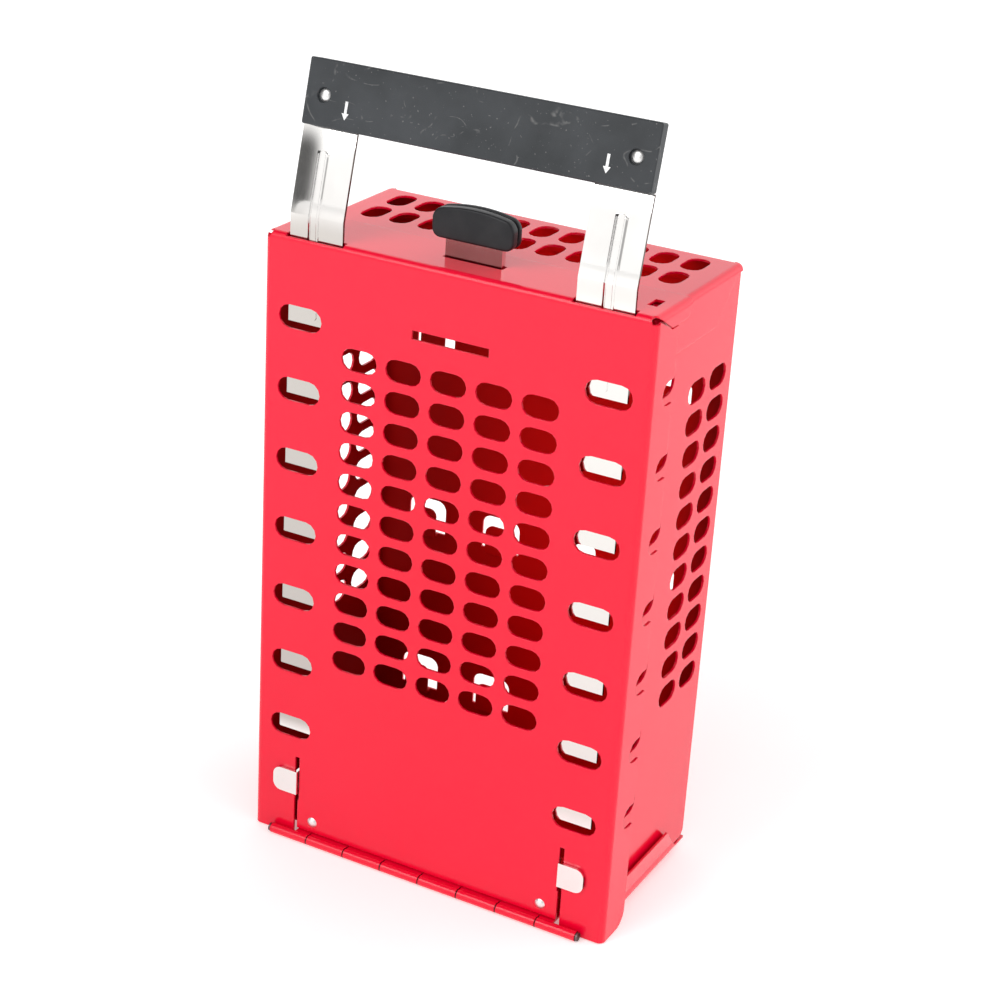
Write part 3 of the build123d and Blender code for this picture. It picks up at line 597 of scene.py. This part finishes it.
@dataclass(frozen=True)
class DrawnSteel:
    """Cold-rolled bright steel with fine lines along its length.

    Attributes:
        name: Name of the material.
        colour: Reflection colour.
        dull: Reflection colour of the duller patches.
        roughness: Lowest and highest roughness.
        grain: Coordinate factors, small along the grain.
        relief: Height of the grain in metres.
        lines: Pattern of the lines.
        patches: Pattern of the duller patches.
        patch_stops: Values of that pattern at which the steel is dull and bright.
        cover_shade: Painted shade on the part of the strip inside the cover, or None.
        sheared: Reflection colour of the sheared edges.
        flank: Reflection colour of the flanks of the pressed rib.
        pressed_from: Distances from the middle plane between which the strip of the rib starts.
        pressed_to: Distances from the middle plane between which that strip ends.
        turned: Slight turns of the face.
    """

    name: str
    colour: Colour
    dull: Colour
    roughness: Span
    grain: tuple[float, float, float]
    relief: float
    lines: Cloud = Cloud(1400.0, 3.0)
    patches: Cloud = Cloud(38.0, 4.0)
    patch_stops: Span = (0.30, 0.62)
    cover_shade: BehindCoverShade | None = None
    sheared: Colour = (0.10, 0.07, 0.06)
    flank: Colour = (0.88, 0.88, 0.88)
    pressed_from: Span = (50.0 * MM, 51.0 * MM)
    pressed_to: Span = (69.0 * MM, 68.0 * MM)
    turned: tuple[Turn, ...] = ()

    def face(self, made: NodeMaterial, axes: Axes) -> bpy.types.NodeSocket:
        """Return the reflection colour of the faces, with painted shade on the part inside the cover where
        there is one.

        Args:
            made: The material that it goes into.
            axes: The object coordinates.

        Returns:
            The output of the last of its nodes.
        """
        face = made.patchy(self.patches, self.patch_stops, self.dull, self.colour)
        if self.cover_shade is None:
            return face
        # Painted shade: darker reflection inside the cover, darkest at the left
        shaded = made.mixed(made.rise(axes["X"], *self.cover_shade.middle), *self.cover_shade.colours)
        below = made.rise(axes["Z"], *self.cover_shade.top)
        above = made.rise(axes["Z"], *self.cover_shade.foot)
        return made.mixed(made.product(below, above), face, shaded)

    def edges(self, made: NodeMaterial, axes: Axes) -> bpy.types.NodeSocket:
        """Return the reflection colour of the edges, which is that of the flanks where the rib lies.

        Args:
            made: The material that it goes into.
            axes: The object coordinates.

        Returns:
            The output of the last of its nodes.
        """
        across = made.amount(axes["X"])
        pressed = made.product(made.rise(across, *self.pressed_from), made.rise(across, *self.pressed_to))
        return made.mixed(pressed, self.sheared, self.flank)

    def make(self) -> bpy.types.Material:
        """Return the material.

        Returns:
            The finished material.
        """
        made = NodeMaterial(self.name)
        lines = made.noise(self.lines, made.stretched(self.grain))
        axes = made.axes()
        colour = made.mixed(made.sideways(), self.face(made, axes), self.edges(made, axes))
        made.join(colour, made.shader.inputs["Base Color"])
        made.join(made.spread(lines, *self.roughness), made.shader.inputs["Roughness"])
        made.set(Metallic=1.0)
        made.bump(lines, self.relief)
        for turn in self.turned:
            rises = [made.rise(axes[axis], start, end) for axis, start, end in turn.ranges]
            slope = made.rise(axes[turn.axis], *turn.span)
            made.bump(made.product(slope, *rises), turn.height)
        return made.material


@dataclass(frozen=True)
class MouldedPlastic:
    """Satin charcoal plastic with curved pale scratches.

    Attributes:
        colour: Colour of the plastic.
        worn: Colour of the rubbed patches.
        patches: Pattern of the rubbed patches.
        patch_stops: Values of that pattern at which the plastic is plain and rubbed.
        scratch: Colour of the scratches.
        curves: Pattern along whose middle value the scratches run.
        curve_grain: Coordinate factors of that pattern.
        width: Half width of a scratch, as a share of that pattern.
        areas: Pattern of the areas that have scratches.
        area_stops: Values of that pattern at which it has none and all of them.
        specks: Pattern of the small pale specks.
        speck_stops: Values of that pattern at which a speck starts and is full.
        roughness: Lowest and highest roughness.
        index: Index of refraction.
        grain: Pattern of the moulded grain.
        relief: Height of the grain.
    """

    colour: Colour = (0.024, 0.027, 0.030)
    worn: Colour = (0.044, 0.048, 0.053)
    patches: Cloud = Cloud(45.0, 3.0)
    patch_stops: Span = (0.35, 0.7)
    scratch: Colour = (0.12, 0.12, 0.12)
    curves: Cloud = Cloud(75.0, 1.0)
    curve_grain: tuple[float, float, float] = (0.7, 1.0, 1.0)
    width: float = 0.010
    areas: Cloud = Cloud(260.0, 2.0)
    area_stops: Span = (0.50, 0.62)
    specks: Cloud = Cloud(900.0, 1.0)
    speck_stops: Span = (0.72, 0.78)
    roughness: Span = (0.38, 0.5)
    index: float = 1.4
    grain: Cloud = Cloud(2600.0, 2.0)
    relief: float = 0.03 * MM

    def scratches(self, made: NodeMaterial) -> bpy.types.NodeSocket:
        """Return a value that is 1 on the scratches and 0 beside them.

        Args:
            made: The material that it goes into.

        Returns:
            The output of the last of its nodes.
        """
        curves = made.noise(self.curves, made.stretched(self.curve_grain))
        low, high = CLOUD_MIDDLE - self.width, CLOUD_MIDDLE + self.width
        lines = made.ramp(curves, (low, BLACK), (CLOUD_MIDDLE, WHITE), (high, BLACK))
        areas = made.patchy(self.areas, self.area_stops, BLACK, WHITE)
        return made.product(lines, areas)

    def make(self) -> bpy.types.Material:
        """Return the material.

        Returns:
            The finished material.
        """
        made = NodeMaterial("charcoal_plastic")
        plain = made.patchy(self.patches, self.patch_stops, self.colour, self.worn)
        scratched = made.mixed(self.scratches(made), plain, self.scratch)
        specks = made.patchy(self.specks, self.speck_stops, BLACK, WHITE)
        made.join(made.mixed(specks, scratched, self.scratch), made.shader.inputs["Base Color"])
        made.join(made.spread(made.noise(self.patches), *self.roughness), made.shader.inputs["Roughness"])
        made.set(IOR=self.index)
        made.bump(made.noise(self.grain), self.relief)
        return made.material


@dataclass(frozen=True)
class SoftRubber:
    """Soft black rubber with a dull bloom.

    Attributes:
        colour: Colour of the rubber.
        bloom: Colour of the bloom.
        patches: Pattern of the bloom.
        patch_stops: Values of that pattern at which the rubber is plain and bloomed.
        gloss: Pattern of the roughness.
        roughness: Lowest and highest roughness.
        index: Index of refraction.
        grain: Pattern of the fine grain.
        relief: Height of the grain.
    """

    colour: Colour = (0.007, 0.007, 0.009)
    bloom: Colour = (0.014, 0.014, 0.016)
    patches: Cloud = Cloud(120.0, 4.0)
    patch_stops: Span = (0.35, 0.7)
    gloss: Cloud = Cloud(300.0, 2.0)
    roughness: Span = (0.36, 0.46)
    index: float = 1.38
    grain: Cloud = Cloud(1800.0, 2.0)
    relief: float = 0.03 * MM

    def make(self) -> bpy.types.Material:
        """Return the material.

        Returns:
            The finished material.
        """
        made = NodeMaterial("black_rubber")
        colour = made.patchy(self.patches, self.patch_stops, self.colour, self.bloom)
        made.join(colour, made.shader.inputs["Base Color"])
        made.join(made.spread(made.noise(self.gloss), *self.roughness), made.shader.inputs["Roughness"])
        made.set(IOR=self.index)
        made.bump(made.noise(self.grain), self.relief)
        return made.material


@dataclass(frozen=True)
class PrintedMark:
    """White pad print, thin in places.

    Attributes:
        colour: Colour of the ink.
        thin: Colour where the ink is thin.
        patches: Pattern of the thin places.
        patch_stops: Values of that pattern at which the ink is thin and full.
        roughness: Roughness of the ink.
    """

    colour: Colour = (0.86, 0.86, 0.86)
    thin: Colour = (0.62, 0.62, 0.63)
    patches: Cloud = Cloud(900.0, 3.0)
    patch_stops: Span = (0.3, 0.5)
    roughness: float = 0.5

    def make(self) -> bpy.types.Material:
        """Return the material.

        Returns:
            The finished material.
        """
        made = NodeMaterial("white_print")
        colour = made.patchy(self.patches, self.patch_stops, self.thin, self.colour)
        made.join(colour, made.shader.inputs["Base Color"])
        made.set(Roughness=self.roughness)
        return made.material


# Hinge coat with painted shade in the seams between the knuckles
HINGE_COAT = PowderCoat(name="red_hinge_coat", seams=(-71.0 * MM, 17.75 * MM))
BAR_FINISH = DrawnSteel(
    name="bright_bar_steel",
    colour=(0.84, 0.83, 0.81),
    dull=(0.77, 0.75, 0.73),
    roughness=(0.07, 0.13),
    grain=(1.0, 1.0, 0.02),
    relief=0.002 * MM,
    # Painted shade on the bars inside the cover, darker on the left bar
    cover_shade=BehindCoverShade(
        top=(272.0 * MM, 258.0 * MM),
        foot=(48.0 * MM, 54.0 * MM),
        middle=(-40.0 * MM, 40.0 * MM),
        colours=((0.50, 0.47, 0.44), (0.72, 0.70, 0.67)),
    ),
    turned=(
        # Outer third of the left bar above the cover
        Turn(
            axis="X",
            span=(-77.0 * MM, -60.5 * MM),
            height=1.7 * MM,
            ranges=(("Z", 259.0 * MM, 273.0 * MM), ("Z", 303.0 * MM, 288.0 * MM)),
        ),
        *PressedRib(-60.8 * MM).turns(),
        *PressedRib(60.8 * MM).turns(),
    ),
)
STRIP_FINISH = DrawnSteel(
    name="latch_strip_steel",
    colour=(0.38, 0.35, 0.33),
    dull=(0.29, 0.26, 0.24),
    roughness=(0.14, 0.22),
    grain=(1.0, 1.0, 0.02),
    relief=0.002 * MM,
    sheared=(0.84, 0.82, 0.80),
    # Upper part of the strip, turned slightly down
    turned=(Turn(axis="Z", span=(240.0 * MM, 285.0 * MM), height=4.75 * MM),),
)
# Painted shade: the pin is dark so that its ends show as the shaded hollow at the hinge's ends
PIN_FINISH = DrawnSteel(
    name="dark_pin_steel_shade",
    colour=(0.20, 0.15, 0.15),
    dull=(0.13, 0.09, 0.09),
    roughness=(0.42, 0.55),
    grain=(0.02, 1.0, 1.0),
    relief=0.004 * MM,
)
PLATED_FINISH = DrawnSteel(
    name="plated_rivet_steel",
    colour=(0.88, 0.87, 0.86),
    dull=(0.76, 0.75, 0.74),
    roughness=(0.34, 0.44),
    grain=(1.0, 1.0, 1.0),
    relief=0.004 * MM,
)


class Workshop:
    """Shared modelling steps on new meshes."""

    @staticmethod
    def clear_selection() -> None:
        """Deselect every object."""
        bpy.ops.object.select_all(action="DESELECT")

    @staticmethod
    def plate(name: str, outline: Sequence[Vector], thickness: Vector) -> bpy.types.Object:
        """Extrude a flat outline into a plate.

        Args:
            name: Name of the piece.
            outline: Corners of the outline in order, in metres.
            thickness: Way from the outline to the far face.

        Returns:
            The new object, selected and active.
        """
        Workshop.clear_selection()
        bpy.ops.mesh.primitive_circle_add(vertices=len(outline), radius=1.0, fill_type="NGON")
        piece = bpy.context.active_object
        piece.name = name
        bpy.ops.object.mode_set(mode="EDIT")
        mesh = bmesh.from_edit_mesh(piece.data)
        for vertex, place in zip(mesh.verts, outline):
            vertex.co = place
        bmesh.update_edit_mesh(piece.data)
        bpy.ops.mesh.select_all(action="SELECT")
        bpy.ops.mesh.extrude_region_move(TRANSFORM_OT_translate={"value": thickness})
        bpy.ops.mesh.select_all(action="SELECT")
        bpy.ops.mesh.normals_make_consistent(inside=False)
        bpy.ops.object.mode_set(mode="OBJECT")
        return piece

    @staticmethod
    def join(pieces: Sequence[bpy.types.Object]) -> bpy.types.Object:
        """Join several meshes into the first of them.

        Args:
            pieces: The objects, the first of which keeps its name.

        Returns:
            The joined object.
        """
        Workshop.clear_selection()
        for piece in pieces:
            piece.select_set(True)
        bpy.context.view_layer.objects.active = pieces[0]
        bpy.ops.object.join()
        return pieces[0]

    @staticmethod
    def bevel(piece: bpy.types.Object, width: float, segments: int) -> None:
        """Round the sharp edges of a piece with an applied bevel modifier.

        Args:
            piece: The piece, selected and active.
            width: Width of the bevel in metres.
            segments: Number of steps round it.
        """
        modifier = piece.modifiers.new("rounding", "BEVEL")
        modifier.width = width
        modifier.segments = segments
        modifier.limit_method = "ANGLE"
        modifier.angle_limit = math.radians(ROUNDED_ANGLE)
        bpy.ops.object.modifier_apply(modifier=modifier.name)

    @staticmethod
    def finish(piece: bpy.types.Object, material: bpy.types.Material, body: Body, slot: Slot) -> None:
        """Smooth a new piece, give it its material and let it ride on its body.

        Args:
            piece: The finished mesh object.
            material: Its material.
            body: The body that it moves with.
            slot: The record's material slot, not used.
        """
        Workshop.clear_selection()
        piece.select_set(True)
        bpy.context.view_layer.objects.active = piece
        bpy.ops.object.shade_smooth_by_angle(angle=math.radians(SHARP_ANGLE))
        piece.data.materials.clear()
        piece.data.materials.append(material)
        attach(piece, body.value)
        LOGGER.info("%s: %d faces on %s", piece.name, len(piece.data.polygons), body.value)


@dataclass
class Finishes:
    """All finishes, made once.

    Attributes:
        coat: Powder coat of the sheets.
        hinge: Powder coat of the hinge leaves, with painted shade in the seams between the knuckles.
        bars: Steel of the lock bars.
        strip: Steel of the latch strip.
        plated: Steel of the rivets.
        pin: Steel of the hinge pin, darkened as painted shade where the hinge's ends show a shaded hollow.
        plastic: Plastic of the handle.
        rubber: Rubber of the pull.
        ink: Ink of the arrows.
    """

    coat: bpy.types.Material = field(default_factory=lambda: PowderCoat().make())
    hinge: bpy.types.Material = field(default_factory=HINGE_COAT.make)
    bars: bpy.types.Material = field(default_factory=BAR_FINISH.make)
    strip: bpy.types.Material = field(default_factory=STRIP_FINISH.make)
    plated: bpy.types.Material = field(default_factory=PLATED_FINISH.make)
    pin: bpy.types.Material = field(default_factory=PIN_FINISH.make)
    plastic: bpy.types.Material = field(default_factory=lambda: MouldedPlastic().make())
    rubber: bpy.types.Material = field(default_factory=lambda: SoftRubber().make())
    ink: bpy.types.Material = field(default_factory=lambda: PrintedMark().make())


@dataclass
class FrameDressing:
    """Finishes of the pieces that come with the frame.

    Attributes:
        nodes: The frame's objects under their names.
        finishes: The finishes to choose from.
    """

    nodes: dict[str, bpy.types.Object]
    finishes: Finishes

    def finish_of(self, slot: str) -> bpy.types.Material:
        """Return the finish for one of the record's material slots.

        Args:
            slot: Name of the slot.

        Returns:
            The finish.
        """
        return {
            Slot.RED_PAINT.value: self.finishes.coat,
            Slot.PLATED_STEEL.value: self.finishes.plated,
            Slot.BAR_STEEL.value: self.finishes.bars,
            Slot.HANDLE_PLASTIC.value: self.finishes.plastic,
            Slot.GRIP_RUBBER.value: self.finishes.rubber,
        }[slot]

    def special(self, node: str) -> bpy.types.Material | None:
        """Return the finish of a node that differs from the rest of its slot.

        Args:
            node: Name of the node.

        Returns:
            The finish, or None where the node has that of its slot.
        """
        return {
            "latch_strip": self.finishes.strip,
            "hinge_pin": self.finishes.pin,
            "body_hinge_leaf": self.finishes.hinge,
            "cover_hinge_leaf": self.finishes.hinge,
        }.get(node)

    def dress(self, subparts: list[dict[str, str]]) -> None:
        """Give every node the finish of its slot.

        Args:
            subparts: The record's nodes with their material slots.
        """
        for subpart in subparts:
            name, slot = subpart["node"], subpart["material_slot"]
            materials = self.nodes[name].data.materials
            materials.clear()
            materials.append(self.special(name) or self.finish_of(slot))
            LOGGER.info("%s: %s", name, slot)


@dataclass
class Handle:
    """White arrows printed on the front of the handle.

    Attributes:
        finishes: The finishes to choose from.
        node: The front half of the handle.
        lean: Backward lean of the handle in degrees.
        from_middle: Distance of an arrow from the middle of the handle.
        stem: Width and length of the stem.
        head: Width and length of the head.
        rise: Height of the tip above the handle's lower edge, along its face.
        proud: Thickness of the print.
        flat: Distance from the front plane within which a corner of the handle lies in it.
    """

    finishes: Finishes
    node: bpy.types.Object
    lean: float = 13.8
    from_middle: float = 52.9 * MM
    stem: tuple[float, float] = (1.1 * MM, 4.4 * MM)
    head: tuple[float, float] = (3.0 * MM, 2.4 * MM)
    rise: float = 3.5 * MM
    proud: float = 0.05 * MM
    flat: float = 0.02 * MM

    def arrow(self, name: str, side: int) -> None:
        """Model one arrow that points down.

        Args:
            name: Name of the piece.
            side: -1 for left and 1 for right.
        """
        lean = math.radians(self.lean)
        along = Vector((0.0, math.sin(lean), math.cos(lean)))
        outward = Vector((0.0, -math.cos(lean), math.sin(lean)))
        foot = self.front_foot(side, outward)
        stem_width, stem_length = self.stem
        head_width, neck = self.head
        stem_half = stem_width / 2
        head_half = head_width / 2
        end = neck + stem_length
        outline = (
            (0.0, 0.0),
            (head_half, neck),
            (stem_half, neck),
            (stem_half, end),
            (-stem_half, end),
            (-stem_half, neck),
            (-head_half, neck),
        )
        corners = [foot + Vector((across, 0.0, 0.0)) + along * (self.rise + up) for across, up in outline]
        piece = Workshop.plate(name, corners, outward * self.proud)
        Workshop.finish(piece, self.finishes.ink, Body.HANDLE, Slot.HANDLE_PLASTIC)

    def front_foot(self, side: int, outward: Vector) -> Vector:
        """Return the foot of the handle's front face, which looks outward, below the arrow on one side."""
        lowest = min(self.front_face(outward), key=lambda corner: corner.z)
        return Vector((side * self.from_middle, lowest.y, lowest.z))

    def front_face(self, outward: Vector) -> list[Vector]:
        """Return the corners of the front half's mesh that lie in its outermost plane.

        Args:
            outward: Direction in which the front face looks.

        Returns:
            Their places.
        """
        corners = [vertex.co.copy() for vertex in self.node.data.vertices]
        outermost = max(corner.dot(outward) for corner in corners)
        return [corner for corner in corners if outermost - corner.dot(outward) < self.flat]

    def build(self) -> None:
        """Model both arrows."""
        self.arrow("arrow_left", -1)
        self.arrow("arrow_right", 1)


@dataclass
class LatchGrip:
    """Soft rubber pull with a crowned top and a groove near its rear.

    Attributes:
        finishes: The finishes to choose from.
        crown: Height of the crown over the shoulders.
        corner: Radius of its corners.
        rear: Thickness of the rear pad.
        groove: Width and depth of the groove.
        front_rim: Radius of the front pad's rims and the number of steps round it.
        rear_rim: Radius of the rear pad's rims and the number of steps round it.
        steps: Number of steps in each quarter of a turn and in each half of the crown.
    """

    finishes: Finishes
    crown: float = 2.3 * MM
    corner: float = 3.4 * MM
    rear: float = 2.0 * MM
    groove: tuple[float, float] = (1.0 * MM, 0.7 * MM)
    front_rim: tuple[float, int] = (0.9 * MM, 4)
    rear_rim: tuple[float, int] = (0.54 * MM, 3)
    steps: int = 8

    def crown_at(self, reach: float, half: float) -> float:
        """Return the height of the crown over the shoulders at a distance from the middle."""
        return self.crown * (1.0 - (reach / half) ** 2)

    def outline(self, low: Vector, high: Vector, depth: float, inset: float) -> list[Vector]:
        """Return the outline of one layer.

        Args:
            low: Lowest corner of the pull.
            high: Highest corner of the pull.
            depth: Place of the layer along Y.
            inset: Distance by which it is smaller all round.

        Returns:
            The corners of the outline in order.
        """
        half = (high.x - low.x) / 2 - inset
        bottom = low.z + inset
        shoulder = high.z - self.crown - inset
        radius = self.corner - inset
        inner = half - radius
        corners = []
        for centre, start, crowned in ((bottom + radius, -QUARTER, False), (shoulder - radius, 0.0, True)):
            for step in range(self.steps + 1):
                turn = math.radians(start + QUARTER * step / self.steps)
                reach = inner + radius * math.cos(turn)
                rise = centre + radius * math.sin(turn)
                if crowned:
                    rise += self.crown_at(reach, half)
                corners.append((reach, rise))
        for step in range(1, self.steps):
            reach = inner * (1.0 - step / self.steps)
            corners.append((reach, shoulder + self.crown_at(reach, half)))
        top = (0.0, shoulder + self.crown)
        mirrored = [(-reach, rise) for reach, rise in reversed(corners)]
        middle = (low.x + high.x) / 2
        return [Vector((middle + reach, depth, rise)) for reach, rise in [*corners, top, *mirrored]]

    def build(self) -> None:
        """Model the pull from a front pad, a core and a rear pad."""
        low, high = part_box("latch_grip")
        width, inset = self.groove
        groove_back = high.y - self.rear
        groove_front = groove_back - width
        back = Vector((0.0, 1.0, 0.0))
        front_outline = self.outline(low, high, low.y, 0.0)
        front_pad = Workshop.plate("pull", front_outline, back * (groove_front - low.y))
        Workshop.bevel(front_pad, *self.front_rim)
        rear_outline = self.outline(low, high, groove_back, 0.0)
        rear_pad = Workshop.plate("pull_rear", rear_outline, back * self.rear)
        Workshop.bevel(rear_pad, *self.rear_rim)
        # The core fills the groove and reaches into both pads as far as the groove is wide
        core_outline = self.outline(low, high, groove_front - width, inset)
        core = Workshop.plate("pull_core", core_outline, back * (3 * width))
        piece = Workshop.join([front_pad, rear_pad, core])
        Workshop.finish(piece, self.finishes.rubber, Body.LATCH, Slot.GRIP_RUBBER)
        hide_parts("latch_grip")


@dataclass(frozen=True)
class SoftBox:
    """One large soft lamp that faces the middle of the box.

    Attributes:
        name: Name of the lamp.
        place: Its place in metres.
        size: Width and height of its face in metres.
        power: Its power in watts.
    """

    name: str
    place: tuple[float, float, float]
    size: tuple[float, float]
    power: float

    def hang(self, target: Vector) -> None:
        """Hang the lamp.

        Args:
            target: Point that it faces.
        """
        data = bpy.data.lights.new(self.name, "AREA")
        data.shape = "RECTANGLE"
        data.size, data.size_y = self.size
        data.energy = self.power
        lamp = bpy.data.objects.new(self.name, data)
        lamp.location = self.place
        lamp.rotation_euler = (target - Vector(self.place)).to_track_quat("-Z", "Y").to_euler()
        bpy.context.scene.collection.objects.link(lamp)


@dataclass(frozen=True)
class Panel:
    """Bright area in the studio's surroundings, with soft limits.

    Attributes:
        brightness: Its brightness.
        limits: Axis, start and end of each soft limit, as that axis' share of the direction.
    """

    brightness: float
    limits: tuple[Limit, ...]

    def shape(self, tree: bpy.types.NodeTree, axes: Axes) -> bpy.types.NodeSocket:
        """Return a value that is 1 on the panel and 0 beside it."""
        rises = [smooth_rise(tree, axes[axis], start, end) for axis, start, end in self.limits]
        return product(tree, *rises)


BACKDROP = Panel(1.2, (("Y", 0.0, 0.4), ("X", -0.85, -0.65), ("Z", 0.9, 0.6)))
WHITE_SCREEN = Panel(1.15, (("Y", -0.1, -0.4), ("X", -0.76, -0.55), ("X", 0.4, 0.0), ("Z", 0.97, 0.85)))
GREY_REFLECTOR = Panel(0.45, (("X", 0.1, 0.5),))


@dataclass
class Studio:
    """Camera, pale floor, bright backdrop and soft lamps.

    Attributes:
        camera_place: Place of the camera in metres.
        camera_aim: Direction in which it looks.
        camera_up: Its upward direction.
        lens: Focal length in millimetres.
        sensor: Width of the sensor in millimetres.
        nearest: Distance from the camera at which its view starts.
        floor_size: Length of the floor's sides in metres.
        floor_gap: Gap between the box and the floor.
        floor_colour: Colour of the floor.
        floor_roughness: Roughness of the floor.
        floor_shine: Share of the floor's reflection.
        floor_glow: Brightness that the floor adds by itself near the box and further away, lower near the
            box as painted shade.
        floor_reach: Distances from the middle between which that brightness changes.
        room: Brightness of the dim room.
        panels: Bright areas round the box.
        lamps: The soft lamps.
        lit: Point that the lamps face.
    """

    camera_place: Vector = field(default_factory=lambda: Vector((377.73, -727.46, 517.76)) * MM)
    camera_aim: Vector = field(default_factory=lambda: Vector((-0.41805, 0.81286, -0.40557)))
    camera_up: Vector = field(default_factory=lambda: Vector((-0.24116, 0.33113, 0.91225)))
    lens: float = 82.745
    sensor: float = 36.0
    nearest: float = 10.0 * MM
    floor_size: float = 12.0
    floor_gap: float = 0.05 * MM
    floor_colour: Colour = (0.90, 0.90, 0.90)
    floor_roughness: float = 0.9
    floor_shine: float = 0.1
    # The floor glows, with painted shade: less glow near the box
    floor_glow: Span = (0.30, 0.46)
    floor_reach: Span = (0.1, 0.8)
    room: float = 0.12
    panels: tuple[Panel, ...] = (BACKDROP, WHITE_SCREEN, GREY_REFLECTOR)
    lamps: tuple[SoftBox, ...] = (
        SoftBox("front_box", (-0.5, -1.3, 1.3), (0.9, 0.9), 9.0),
        SoftBox("top_box", (0.5, -0.2, 1.7), (1.2, 1.2), 4.5),
        SoftBox("right_box", (1.7, -0.3, 0.9), (1.0, 1.0), 4.0),
    )
    lit: Vector = field(default_factory=lambda: Vector((0.0, 0.0, 0.13)))

    def camera(self) -> None:
        """Set up the camera."""
        data = bpy.data.cameras.new("camera")
        data.sensor_width = self.sensor
        data.lens = self.lens
        data.clip_start = self.nearest
        camera = bpy.data.objects.new("camera", data)
        bpy.context.scene.collection.objects.link(camera)
        back = -self.camera_aim.normalized()
        right = self.camera_up.cross(back).normalized()
        up = back.cross(right)
        turn = Matrix((right, up, back)).transposed().to_4x4()
        camera.matrix_world = Matrix.Translation(self.camera_place) @ turn
        bpy.context.scene.camera = camera

    def glow(self, tree: bpy.types.NodeTree) -> bpy.types.NodeSocket:
        """Return the brightness that the floor adds by itself, lower near the box as painted shade.

        Args:
            tree: Node tree of the floor's material.

        Returns:
            The result output of a map range node.
        """
        coordinates = tree.nodes.new("ShaderNodeTexCoord")
        distance = tree.nodes.new("ShaderNodeVectorMath")
        distance.operation = "LENGTH"
        tree.links.new(coordinates.outputs["Object"], distance.inputs[0])
        glow = tree.nodes.new("ShaderNodeMapRange")
        glow.inputs["From Min"].default_value, glow.inputs["From Max"].default_value = self.floor_reach
        glow.inputs["To Min"].default_value, glow.inputs["To Max"].default_value = self.floor_glow
        tree.links.new(distance.outputs["Value"], glow.inputs["Value"])
        return glow.outputs["Result"]

    def floor(self) -> None:
        """Lay a pale floor under the box."""
        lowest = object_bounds()[0][2]
        place = (0.0, 0.0, lowest - self.floor_gap)
        Workshop.clear_selection()
        bpy.ops.mesh.primitive_plane_add(size=self.floor_size, location=place)
        floor = bpy.context.active_object
        floor.name = "floor"
        material = bpy.data.materials.new("pale_floor")
        material.use_nodes = True
        tree = material.node_tree
        shader = tree.nodes["Principled BSDF"]
        shader.inputs["Base Color"].default_value = with_alpha(self.floor_colour)
        shader.inputs["Roughness"].default_value = self.floor_roughness
        shader.inputs["Specular IOR Level"].default_value = self.floor_shine
        shader.inputs["Emission Color"].default_value = with_alpha(WHITE)
        tree.links.new(self.glow(tree), shader.inputs["Emission Strength"])
        floor.data.materials.append(material)
        floor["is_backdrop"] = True

    def world(self) -> None:
        """Surround the box with a dim room and its bright panels."""
        world = bpy.data.worlds.new("studio")
        world.use_nodes = True
        tree = world.node_tree
        coordinates = tree.nodes.new("ShaderNodeTexCoord")
        direction = tree.nodes.new("ShaderNodeSeparateXYZ")
        tree.links.new(coordinates.outputs["Generated"], direction.inputs["Vector"])
        axes = {name: direction.outputs[name] for name in "XYZ"}
        level: bpy.types.NodeSocket | None = None
        for panel in self.panels:
            node = tree.nodes.new("ShaderNodeMath")
            node.operation = "MULTIPLY_ADD"
            tree.links.new(panel.shape(tree, axes), node.inputs[0])
            node.inputs[1].default_value = panel.brightness
            if level is None:
                node.inputs[2].default_value = self.room
            else:
                tree.links.new(level, node.inputs[2])
            level = node.outputs["Value"]
        background = tree.nodes["Background"]
        tree.links.new(level, background.inputs["Strength"])
        background.inputs["Color"].default_value = with_alpha(WHITE)
        bpy.context.scene.world = world

    def build(self) -> None:
        """Set up the whole studio."""
        bpy.context.scene.view_settings.view_transform = "Standard"
        self.camera()
        self.floor()
        self.world()
        for lamp in self.lamps:
            lamp.hang(self.lit)
        LOGGER.info("studio ready")


def corners(bounds: Any) -> list[list[float]]:
    """Return a bounding box as plain lists."""
    return [[float(value) for value in corner] for corner in bounds]


def main() -> None:
    """Dress the frame, add the new pieces and set up the studio."""
    logging.basicConfig(level=logging.INFO, format="%(name)s: %(message)s")
    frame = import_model()
    before = corners(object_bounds())
    finishes = Finishes()
    FrameDressing(frame["nodes"], finishes).dress(frame["record"]["subparts"])
    Handle(finishes, frame["nodes"]["handle_front"]).build()
    LatchGrip(finishes).build()
    Studio().build()
    {"cad": before, "visual": corners(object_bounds())}


if __name__ == "__main__":
    main()
